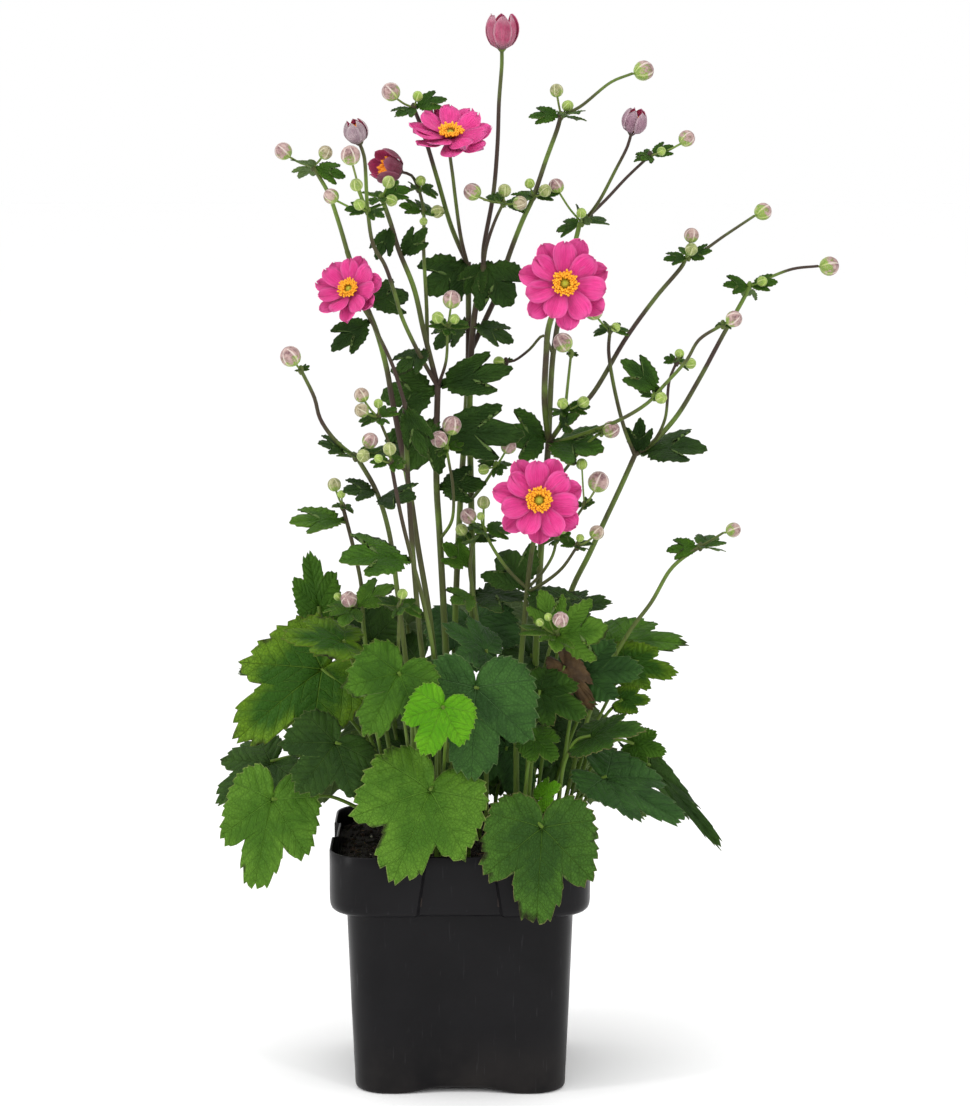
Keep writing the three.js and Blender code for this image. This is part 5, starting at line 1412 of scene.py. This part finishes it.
def dome_form(radius):
    """The round middle of a bloom, dimpled all over."""
    def dimple(turn, share):
        return 0.08 * math.sin(turn * 2 * math.pi * 9) * math.sin(share * 18)

    angles = [a * math.pi / 14 for a in range(7)]
    upper = [(radius * math.cos(angle), radius * math.sin(angle)) for angle in angles]
    return round_form([(0, -0.4 * radius), *upper, (0, radius)], 27, dent=dimple)


def pot_ring(half, height, inset, lift=0.0, panel=None, stops=None):
    """One ring of the pot's plan: a rounded square whose four faces are set back in the middle. panel
    holds the half widths where the set-back part starts to rise and where it has reached the full face,
    and stops are the places of the points on a face."""
    arc = POT_CORNER * half / COLLAR_HALF
    flat = half - arc
    stops = stops or [flat * (1 - 2 * i / (FACE_STOPS + 1)) for i in range(1, FACE_STOPS + 1)]
    points = []
    for face in range(4):
        turn = Quaternion(UP, face * math.pi / 2)
        outline = []
        for i in range(CORNER_STOPS):
            angle = math.pi / 2 * i / (CORNER_STOPS - 1)
            outline.append(Vector((flat + arc * math.cos(angle), flat + arc * math.sin(angle), height)))
        for x in stops:
            back = 1 - smooth_step(*(panel or BODY_PANEL), abs(x))
            outline.append(Vector((x, half - inset * back, height + lift * back)))
        points.extend(turn @ p for p in outline)
    return points


def collar_ring(half, height, width):
    """A ring of the collar, whose set-back middle has sharp sides width millimetres from the middle."""
    flat = half - POT_CORNER * half / COLLAR_HALF
    right = [flat * 0.85, flat * 0.66, width + 3.4, width + 2.2, width + 1.1, width, width - 1.2, width * 0.6]
    return pot_ring(half, height, COLLAR_INSET, panel=(width, width + PANEL_EDGE),
                    stops=[*right, 0, *[-x for x in reversed(right)]])


def collar_panel(height):
    """Half the width of the collar's set-back middle, which is wider below."""
    return (COLLAR_PANEL[1] + (COLLAR_PANEL[0] - COLLAR_PANEL[1])
            * (height - COLLAR_BOTTOM) / (POT_HEIGHT - COLLAR_BOTTOM))


def pole(shape, height):
    """A row of one point on the middle line, which closes a form."""
    return [shape.add_point(Vector((0, 0, height)))]


def drilled(piece, places, radius, bottom, top):
    """The piece with upright round holes through it."""
    cutter_shape = Shape()
    for x, y in places:
        table = [[cutter_shape.add_point(Vector((x, y, bottom)))]]
        for height in (bottom, top):
            table.append([cutter_shape.add_point(Vector((x + radius * math.cos(math.pi * i / 12),
                                                         y + radius * math.sin(math.pi * i / 12), height)))
                          for i in range(24)])
        table.append([cutter_shape.add_point(Vector((x, y, top)))])
        cutter_shape.add_rows(table, closed=True)
    cutter = mesh_piece("drain_cutter", cutter_shape)
    cut = piece.modifiers.new("Drain holes", "BOOLEAN")
    cut.operation, cut.object, cut.solver = "DIFFERENCE", cutter, "EXACT"
    mesh = bpy.data.meshes.new_from_object(piece.evaluated_get(bpy.context.evaluated_depsgraph_get()))
    piece.modifiers.remove(cut)
    piece.data = mesh
    bpy.data.objects.remove(cutter)
    return piece


def foot_points(foot):
    """The straight lowest stretch of a stalk, in its hole in the soil."""
    return [Vector((*foot, height)) for height in (SOIL_TOP + 18, SOIL_TOP + 5, SOIL_TOP - HOLE_DEPTH)]


# Settings

class PotSettings(bpy.types.PropertyGroup):
    pot_colour: bpy.props.FloatVectorProperty(
        name="Pot colour", description="Colour of the moulded plastic", subtype="COLOR", size=3, min=0, max=1,
        default=paint("#0b0a0c")[:3])
    pot_roughness: bpy.props.FloatProperty(
        name="Pot roughness", description="How dull the plastic is", subtype="FACTOR", min=0, max=1,
        default=0.34)
    crumb_density: bpy.props.FloatProperty(
        name="Crumbs", description="Peat crumbs on a square metre of soil", min=0, default=45000)
    crumb_size: bpy.props.FloatProperty(
        name="Largest crumb", description="Size of the largest crumb of peat, in millimetres", min=0.2, max=6,
        default=3.0)
    soil_roughness: bpy.props.FloatProperty(
        name="Soil bumps", description="How far the soil rises and falls, in millimetres", min=0, max=4,
        default=2.4)


class PlantSettings(bpy.types.PropertyGroup):
    stalk_sides: bpy.props.IntProperty(
        name="Stalk sides", description="Flat faces round a stalk", min=3, max=24, default=8)
    leaf_thickness: bpy.props.FloatProperty(
        name="Leaf thickness", description="Thickness of a leaf blade, in millimetres", min=0.1, max=2,
        default=0.5)
    petal_thickness: bpy.props.FloatProperty(
        name="Petal thickness", description="Thickness of a petal, in millimetres", min=0.1, max=2,
        default=0.4)
    browning: bpy.props.FloatProperty(
        name="Browning", description="How far the tips of the leaves have browned", subtype="FACTOR", min=0,
        max=1, default=0.6)
    stamens: bpy.props.IntProperty(
        name="Stamens", description="Stamens in an open bloom", min=8, max=300, default=95)
    bud_mauve: bpy.props.StringProperty(
        name="Bud colour", description="Colour of the grown part of a bud, as a hex code", default="#6c474c")
    seed: bpy.props.IntProperty(
        name="Seed", description="Sets every chance difference between like pieces", default=7)


class StageSettings(bpy.types.PropertyGroup):
    focal_length: bpy.props.FloatProperty(
        name="Focal length", description="Focal length of the camera, in millimetres",
        subtype="DISTANCE_CAMERA", default=117.8)
    camera_pitch: bpy.props.FloatProperty(
        name="Camera pitch", description="How far the camera looks down", subtype="ANGLE",
        default=math.radians(8.12))
    light: bpy.props.FloatProperty(
        name="Light", description="Strength of the studio light", subtype="FACTOR", min=0, max=4, default=1.0)


# Operators

class ANEMONE_OT_pot(bpy.types.Operator):
    """Builds the square nursery pot"""
    bl_idname = "anemone.pot"
    bl_label = "Pot"

    def execute(self, context):
        shape = Shape()
        inside = COLLAR_HALF - POT_WALL
        rings = [pot_ring(60, 0, 0), pot_ring(71, 0, BODY_INSET * 0.7, FOOT_ARCH * 0.8)]
        for height, half, lift in POT_BODY:
            rings.append(pot_ring(half, height, BODY_INSET, FOOT_ARCH * lift))
        collar_inside = ((177.8, inside + 0.2), (177.2, inside), (165, inside), (146, inside),
                         (141, inside - 1), (137.4, inside - 5), (136, BODY_TOP_HALF - POT_WALL + 1))
        for height, half in (*COLLAR_OUTSIDE, *collar_inside):
            rings.append(collar_ring(half, height, collar_panel(height)))
        for height, half in ((134, BODY_TOP_HALF - POT_WALL), (70, 77.4), (13, BODY_BOTTOM_HALF - POT_WALL)):
            rings.append(pot_ring(half, height, BODY_INSET))
        rings.append(pot_ring(70, 5, BODY_INSET * 0.5))
        rings.append(pot_ring(58, POT_FLOOR, 0))
        table = [pole(shape, 0)]
        table += [[shape.add_point(p) for p in ring] for ring in rings]
        table.append(pole(shape, POT_FLOOR))
        shape.add_rows(table, closed=True)
        piece = mesh_piece("nursery_pot", shape, pot_material(context.scene.anemone_pot), sharp=50)
        corners = [(x, y) for x in (-DRAIN_SPACING, DRAIN_SPACING) for y in (-DRAIN_SPACING, DRAIN_SPACING)]
        hand_over(drilled(piece, corners, DRAIN_RADIUS, -2, POT_FLOOR + 2), "pot_plastic", "pot")
        return {"FINISHED"}


class ANEMONE_OT_soil(bpy.types.Operator):
    """Fills the pot with peat, and strews crumbs, fibres and pale specks over it"""
    bl_idname = "anemone.soil"
    bl_label = "Soil"

    def execute(self, context):
        settings = context.scene.anemone_pot
        chance = random.Random(77)
        rise = soil_rise(settings.soil_roughness, chance)
        surface = soil_surface(rise, chance)
        shape, top = Shape(), Shape()
        underside = POT_FLOOR + SOIL_GAP
        table = [pole(shape, underside)]
        for size, height in ((54, underside), (BODY_BOTTOM_HALF - POT_WALL - 1.4, 16),
                             (BODY_TOP_HALF - POT_WALL - 0.6, COLLAR_BOTTOM + 1.5)):
            table.append([shape.add_point(p) for p in pot_ring(size, height, BODY_INSET)])
        for height in (COLLAR_BOTTOM + 8, 150, SOIL_TOP - 4):
            table.append([shape.add_point(p) for p in collar_ring(SOIL_HALF - 1, height, SOIL_PANEL)])
        for target, below in ((shape, table), (top, [])):
            rows = [[target.add_point(p) for p in ring] for ring in surface]
            rows.append(pole(target, SOIL_TOP + rise(0, 0)))
            target.add_rows(below + rows, closed=True)
        peat = peat_material()
        hand_over(mesh_piece("peat", shape, peat), "peat", "soil")
        crumb = prototype("crumb", crumb_form())
        for name, seed, share, largest, material in (
                ("peat_crumbs", 3, 1, settings.crumb_size, peat),
                ("peat_specks", 11, SPECK_SHARE, SPECK_SIZE, grainy_material("Pale specks"))):
            crumbs = grown(name, mesh_piece("top", top), "Strewn crumbs", Form=crumb, Seed=seed,
                           Density=settings.crumb_density * share, Largest=largest, Material=material)
            hand_over(crumbs, "peat")
        bpy.data.objects.remove(crumb)
        hand_over(grown("peat_fibres", curve_source("peat_fibres", fibre_routes(rise, chance)), "Stalk tubes",
                        Sides=4, Material=grainy_material("Peat fibres")), "peat")
        return {"FINISHED"}


def soil_rise(roughness, chance):
    """How far the soil stands above its level at a place, as a function of x and y."""
    waves = [(chance.uniform(0.03, 0.16), any_turn(chance), any_turn(chance)) for _ in range(9)]

    def rise(x, y):
        bumps = sum(math.sin(x * f * math.cos(a) + y * f * math.sin(a) + p) for f, a, p in waves) / 9
        return roughness * bumps - 1.2 * smooth_step(70, 91, max(abs(x), abs(y)))

    return rise


def soil_surface(rise, chance):
    """The soil's surface as rings of points, from the pot's wall inwards."""
    rings = []
    for step in range(SOIL_RINGS):
        share = 1 - step / SOIL_RINGS
        rings.append(collar_ring(SOIL_HALF, SOIL_TOP, SOIL_PANEL))
        for p in rings[-1]:
            p.x, p.y = p.x * share, p.y * share
            p.z += rise(p.x, p.y) + chance.uniform(-0.4, 0.4)
    return rings


def fibre_routes(rise, chance):
    """Fibres of peat that lie on the soil and dip into it at their ends."""
    routes = []
    for _ in range(FIBRES):
        spot = Vector((chance.uniform(-84, 84), chance.uniform(-84, 84), 0))
        angle, length = any_turn(chance), chance.uniform(4, 15)
        points = []
        for lift in (-0.2, 0.6, 0.6, -0.2):
            angle += chance.uniform(-0.7, 0.7)
            spot = spot + Vector((math.cos(angle), math.sin(angle), 0)) * length / 3
            spot.x, spot.y = max(-88, min(88, spot.x)), max(-86, min(86, spot.y))
            points.append(Vector((spot.x, spot.y, SOIL_TOP + rise(spot.x, spot.y) + lift)))
        routes.append((points, [0.3] * 4))
    return routes


STEM_LEAF_TONES = {"stem_low_left": "fresh", "stem_low_centre": "mid", "stem_mid": "fresh",
                   "stem_arching_right": "mid", "stem_low_right": "fresh", "stem_right_wide": "deep",
                   "stem_slender": "mid"}


class ANEMONE_OT_flowering_stems(bpy.types.Operator):
    """Grows each flowering stem with its branches, leaflets, leaves and buds"""
    bl_idname = "anemone.flowering_stems"
    bl_label = "Flowering stems"

    def execute(self, context):
        settings = context.scene.anemone_plant
        for order, (name, stem) in enumerate(FLOWERING_STEMS.items()):
            chance = random.Random(settings.seed * 100 + order)
            routes, tips = stem_routes(stem)
            lines = [line for line, radii in routes]
            leaves, leaflets, twigs, buds = Shape(), Shape(), [], []
            for place, size, turn, grown_buds in stem["sprays"]:
                joint = nearest_on(lines, seen(place))
                routes.append(([joint + UP * rise for rise, radius in JOINT_SWELLING],
                               [radius for rise, radius in JOINT_SWELLING]))
                add_whorl(leaflets, joint, size, turn, chance)
                for spot in grown_buds:
                    twig, bud = twig_and_bud(seen(spot), spot[3], joint, tips)
                    twigs.append(twig)
                    buds.append(bud)
            for base, tip, width, facing in stem["leaves"]:
                root = nearest_on(lines, seen(base))
                along = seen(tip) - root
                add_stem_leaf(leaves, root, along.normalized(), along.length, width, facing, chance)
            hand_over_stalks(name + "_stalks", routes, "Stem", settings, name)
            if twigs:
                hand_over_stalks(name + "_twigs", twigs, "Twig", settings)
            tone = STEM_LEAF_TONES.get(name, "dark")
            if leaves.points:
                hand_over_leaves(name + "_leaves", leaves, tone, settings)
            if leaflets.points:
                leaflet_tone = "fresh" if tone == "fresh" else "mid"
                hand_over_leaves(name + "_leaflets", leaflets, leaflet_tone, settings)
            if buds:
                hand_over_small_forms(name + "_buds", bud_form(), buds, "stem", order,
                                      bud_material("Bud", settings.bud_mauve))
        return {"FINISHED"}


def stem_routes(stem):
    """A stem's stalks as (line, radii), and the free ends of those that carry no bloom."""
    routes, tips = [], []
    for rank, (radius, bloom, places) in enumerate(stem["stalks"]):
        points = [seen(place) for place in places]
        if rank == 0:
            points += foot_points(stem["foot"])
        else:
            points[0] = nearest_on([line for line, radii in routes], points[0])
        if bloom:
            seat, _, facing = (OPEN_BLOOMS.get(bloom) or CUP_BLOOMS[bloom])[:3]
            toward = Vector(facing).normalized()
            neck = seen(seat) - toward * NECK_LENGTH
            while len(points) > 1 and (points[-1] - neck).length < NECK_ROOM:
                points.pop()
            points += [neck, seen(seat) + toward * STALK_IN_BLOOM]
        line = smooth_route(points, STALK_STEP)
        if not bloom:
            tips.append(line[0 if rank == 0 else -1])
        routes.append((line, tapered(line, radius, 0.88, 0.2) if rank == 0
                       else tapered(line, radius, 1.06, -0.2)))
    return routes, tips


def twig_and_bud(centre, radius, joint, tips):
    """A bud's stalk as (line, radii), and the bud as (point, aim, size, ripeness)."""
    ends = [end for end in tips if (end - centre).length < radius + 12]
    start = ends[0] if ends else joint
    lean = ((centre - start).normalized() + UP * (0.1 if ends else 0.4)).normalized()
    end = centre - lean * radius * 0.9
    bow = start.lerp(end, 0.5) - UP * 0.06 * (end - start).length
    line = smooth_route([start, bow, end], TWIG_STEP)
    twig = (line, [PEDICEL_RADIUS * (1.0 if radius > 4.5 else 0.8)] * len(line))
    return twig, (centre, lean, radius, smooth_step(4.2, 5.8, radius))


class ANEMONE_OT_open_blooms(bpy.types.Operator):
    """Opens the four blooms: two layers of petals, a ring of stamens and a round middle"""
    bl_idname = "anemone.open_blooms"
    bl_label = "Open blooms"

    def execute(self, context):
        settings = context.scene.anemone_plant
        for order, (name, (seat, radius, facing)) in enumerate(OPEN_BLOOMS.items()):
            chance = random.Random(settings.seed + order)
            toward = Vector(facing).normalized()
            hand_over_petals(name + "_flower_petals", open_petals(seat, radius, facing, 11 + order),
                             "Pink petal", "Petal back", "petal", settings, f"bloom_{name}_petals")
            centre = seen(seat) + toward * (RECEPTACLE_DEPTH + 2)
            places = stamen_places(centre, toward, radius, settings.stamens, chance)
            hand_over_small_forms(name + "_flower_stamens", stamen_form(), places, "stamen", order,
                                  grainy_material("Stamen"), f"bloom_{name}_stamens")
            dome = set_up(dome_form(radius * MIDDLE_SHARE), centre, toward)
            hand_over(mesh_piece(name + "_flower_middle", dome, grainy_material("Flower middle")), "stamen")
            base = set_up(round_form(OPEN_BASE, 14), seen(seat) + toward * (RECEPTACLE_DEPTH + 0.4), toward)
            hand_over(mesh_piece(name + "_flower_base", base, stalk_material("Stem")), "stem")
        return {"FINISHED"}


class ANEMONE_OT_cup_blooms(bpy.types.Operator):
    """Shapes the four half open blooms, whose petals stand in a cup"""
    bl_idname = "anemone.cup_blooms"
    bl_label = "Half open blooms"

    def execute(self, context):
        settings = context.scene.anemone_plant
        for order, (name, (seat, radius, facing, height, closing)) in enumerate(CUP_BLOOMS.items()):
            chance = random.Random(settings.seed + 20 + order)
            toward = Vector(facing).normalized()
            hand_over_petals(name + "_cup_petals", cup_petals(seat, radius, height, facing, closing, chance),
                             "Cup petal " + name, "Cup lining", "cup_petal", settings, f"bloom_{name}_cup")
            places = stamen_places(seen(seat) + toward * 3, toward, height, CUP_STAMENS, chance, spread=0.3,
                                   stretch=2.6)
            hand_over_small_forms(name + "_cup_stamens", stamen_form(), places, "stamen", order,
                                  grainy_material("Young stamen"))
            base = set_up(round_form(CUP_BASE, 12), seen(seat) + toward * 1.4, toward)
            hand_over(mesh_piece(name + "_cup_base", base, stalk_material("Stem")), "stem")
        return {"FINISHED"}


def leaf_stalk(base, mids, tail):
    """A leaf stalk as (line, radii), from the blade's base over the places in between to its own end."""
    line = smooth_route([seen(base), *[seen(p) for p in mids], *tail], LEAF_STALK_STEP)
    return line, tapered(line, LEAF_STALK_RADIUS, 0.8, 0.3)


class ANEMONE_OT_basal_leaves(bpy.types.Operator):
    """Grows the three-lobed leaves from the soil, each on its own stalk"""
    bl_idname = "anemone.basal_leaves"
    bl_label = "Basal leaves"

    def execute(self, context):
        settings = context.scene.anemone_plant
        routes = []
        for order, (name, leaf) in enumerate(BASAL_LEAVES.items()):
            base, tip, width, facing, foot, mids, tone = leaf
            chance = random.Random(settings.seed * 10 + order)
            shape = Shape()
            add_basal_blade(shape, seen(base), seen(tip), width, facing, chance)
            hand_over_leaves("blade_" + name, shape, tone, settings, "leaf_" + name)
            routes.append(leaf_stalk(base, mids, foot_points(foot)))
        hand_over_stalks("leaf_stalks", routes, "Leaf stalk", settings)
        return {"FINISHED"}


# The leaves at the back, where the photograph does not reach: the foot, the finish, and for each blade its
# base, tip, width, facing and the places along its stalk. A second blade's stalk leaves the first's.
BACK_LEFT, BACK, BACK_RIGHT = (-0.5, 0.8, 0.5), (-0.1, 1, 0.45), (0.5, 0.75, 0.5)
BACK_LEAVES = {
    "back_left": ((-34, 36), "mid", [
        ((-50, 62, 273), (-94, 92, 231), 84, BACK_LEFT, [(-43, 50, 230)]),
        ((-71, 42, 234), (-117, 58, 202), 72, BACK_LEFT, [(-55, 44, 223), (-39, 42, 205)]),
    ]),
    "back_middle": ((6, 52), "fresh", [
        ((8, 74, 269), (3, 108, 218), 92, BACK, [(8, 64, 233)]),
        ((-27, 80, 222), (-41, 110, 184), 74, BACK, [(-13, 72, 221), (7, 60, 211)]),
    ]),
    "back_right": ((34, 52), "fresh", [
        ((61, 84, 277), (97, 112, 236), 84, BACK_RIGHT, [(42, 62, 236)]),
        ((93, 50, 228), (137, 66, 194), 74, BACK_RIGHT, [(71, 56, 223), (41, 58, 210)]),
    ]),
    "back_high_left": ((-22, 50), "bluish", [
        ((-39, 48, 334), (-81, 72, 308), 72, BACK_LEFT, [(-29, 50, 260)]),
    ]),
    "back_high_right": ((26, 58), "dark", [
        ((26, 66, 341), (55, 100, 313), 72, BACK_RIGHT, [(25, 56, 263)]),
    ]),
}
# Leaves inside the plant between the stems, told in the same way. They fill gaps among the stems, and their
# mostly dark tones also stand in for the shade inside the plant: painted shade
INNER_SHADE_LEAVES = {
    "inner_left": ((-14, 18), "dark", [
        ((-30, 12, 302), (-66, 2, 264), 70, (-0.4, -0.6, 0.7), [(-22, 15, 250)]),
    ]),
    "inner_middle": ((14, 34), "bluish", [
        ((6, 30, 334), (14, -2, 297), 70, (0.1, -0.7, 0.7), [(10, 36, 270)]),
    ]),
    "inner_right": ((36, 8), "dark", [
        ((52, 22, 309), (91, 8, 279), 66, (0.4, -0.6, 0.7), [(44, 14, 250)]),
    ]),
    "inner_low_left": ((-22, 4), "dark", [
        ((-34, 2, 236), (-50, -12, 204), 62, (-0.2, -0.8, 0.5), [(-28, 4, 210)]),
    ]),
    "inner_low_right": ((24, 14), "bluish", [
        ((34, 6, 240), (46, -12, 206), 64, (0.2, -0.8, 0.5), [(28, 10, 212)]),
    ]),
    "inner_low_middle": ((2, 20), "deep", [
        ((0, 12, 232), (-2, -10, 200), 60, (0, -0.9, 0.5), [(0, 18, 210)]),
    ]),
    "inner_low_gap": ((14, 40), "dark", [
        ((20, 34, 242), (29, 18, 204), 52, (0.2, -0.9, 0.4), [(16, 38, 214)]),
    ]),
    "inner_low_back": ((48, 34), "dark", [
        ((64, 32, 256), (73, 18, 208), 64, (0.3, -0.9, 0.4), [(54, 34, 220)]),
    ]),
}
# Base, tip and width
DRY_LEAF = ((76, -34, 300), (97, -46, 272), 24)


class ANEMONE_OT_back_leaves(bpy.types.Operator):
    """Adds the leaves behind and inside the plant, and one dry leaf"""
    bl_idname = "anemone.back_leaves"
    bl_label = "Back leaves"

    def execute(self, context):
        settings = context.scene.anemone_plant
        routes = []
        for order, (name, (foot, tone, blades)) in enumerate({**BACK_LEAVES, **INNER_SHADE_LEAVES}.items()):
            chance = random.Random(settings.seed * 30 + order)
            shape, lines = Shape(), []
            for base, tip, width, facing, mids in blades:
                add_basal_blade(shape, seen(base), seen(tip), width, facing, chance)
                if lines:
                    *mids, joint = mids
                    routes.append(leaf_stalk(base, mids, [nearest_on(lines, seen(joint))]))
                else:
                    routes.append(leaf_stalk(base, mids, foot_points(foot)))
                lines.append(routes[-1][0])
            hand_over_leaves(name + "_blades", shape, tone, settings,
                             *(["leaf_" + name] if name in BACK_LEAVES else []))
        dry = Shape()
        root, tip = [seen(place) for place in DRY_LEAF[:2]]
        add_basal_blade(dry, root, tip, DRY_LEAF[2], FORWARD, random.Random(4), droop=0.5, ruffle=0.1)
        hand_over(mesh_piece("dry_blade", dry, grainy_material("Dry leaf"),
                             thickness=settings.leaf_thickness), "leaf")
        line = smooth_route([root, root - Vector((10, 4, 30)), root - Vector((24, 8, 70))], LEAF_STALK_STEP)
        routes.append((line, [0.8] * len(line)))
        hand_over_stalks("back_leaf_stalks", routes, "Leaf stalk", settings)
        return {"FINISHED"}


class ANEMONE_OT_stage(bpy.types.Operator):
    """Sets the plain pale floor, the soft studio light and the camera"""
    bl_idname = "anemone.stage"
    bl_label = "Stage"

    def execute(self, context):
        settings = context.scene.anemone_stage
        scene = context.scene
        mesh = bpy.data.meshes.new("floor")
        corners = [(x * FLOOR_REACH, y * FLOOR_REACH, 0) for x, y in ((-1, -1), (1, -1), (1, 1), (-1, 1))]
        mesh.from_pydata(corners, [], [(0, 1, 2, 3)])
        paper = Finish("Floor", roughness=0.9)
        paper.shader.inputs["Base Color"].default_value = WHITE
        mesh.materials.append(paper.material)
        linked("floor", mesh)
        for name, place, aim, size, power in LAMPS:
            data = bpy.data.lights.new(name, "AREA")
            data.shape, (data.size, data.size_y) = "RECTANGLE", size
            data.energy = power * settings.light
            lamp = linked(name, data)
            lamp.location = place
            lamp.rotation_euler = (Vector((0, 0, aim)) - Vector(place)).to_track_quat("-Z", "Y").to_euler()
        scene.world = bpy.data.worlds.new("studio")
        scene.world.use_nodes = True
        background = scene.world.node_tree.nodes["Background"].inputs
        background["Color"].default_value = WHITE
        background["Strength"].default_value = settings.light
        scene.view_settings.view_transform = "Standard"
        data = bpy.data.cameras.new("camera")
        data.lens = settings.focal_length
        data.clip_end = 60
        scene.camera = linked("camera", data)
        scene.camera.location = VIEWPOINT * MM
        scene.camera.rotation_euler = (math.pi / 2 - settings.camera_pitch, 0, 0)
        return {"FINISHED"}


# Panel and registration

OPERATORS = (ANEMONE_OT_stage, ANEMONE_OT_pot, ANEMONE_OT_soil, ANEMONE_OT_flowering_stems,
             ANEMONE_OT_open_blooms, ANEMONE_OT_cup_blooms, ANEMONE_OT_basal_leaves, ANEMONE_OT_back_leaves)
SETTINGS = {"anemone_pot": PotSettings, "anemone_plant": PlantSettings, "anemone_stage": StageSettings}


class ANEMONE_PT_panel(bpy.types.Panel):
    """Lists the settings and the pieces that can be built"""
    bl_label = "Potted japanese anemone"
    bl_idname = "ANEMONE_PT_panel"
    bl_space_type = "VIEW_3D"
    bl_region_type = "UI"
    bl_category = "Anemone"

    def draw(self, context):
        for title, group in SETTINGS.items():
            box = self.layout.box()
            for key in group.__annotations__:
                box.prop(getattr(context.scene, title), key)
        for operator in OPERATORS:
            self.layout.operator(operator.bl_idname)


CLASSES = (*SETTINGS.values(), *OPERATORS, ANEMONE_PT_panel)


def register():
    for cls in CLASSES:
        bpy.utils.register_class(cls)
    for title, group in SETTINGS.items():
        setattr(bpy.types.Scene, title, bpy.props.PointerProperty(type=group))


def unregister():
    for title in SETTINGS:
        delattr(bpy.types.Scene, title)
    for cls in reversed(CLASSES):
        bpy.utils.unregister_class(cls)


def main():
    register()
    for operator in OPERATORS:
        section, name = operator.bl_idname.split(".")
        getattr(getattr(bpy.ops, section), name)()
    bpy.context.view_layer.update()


if __name__ == "__main__":
    main()
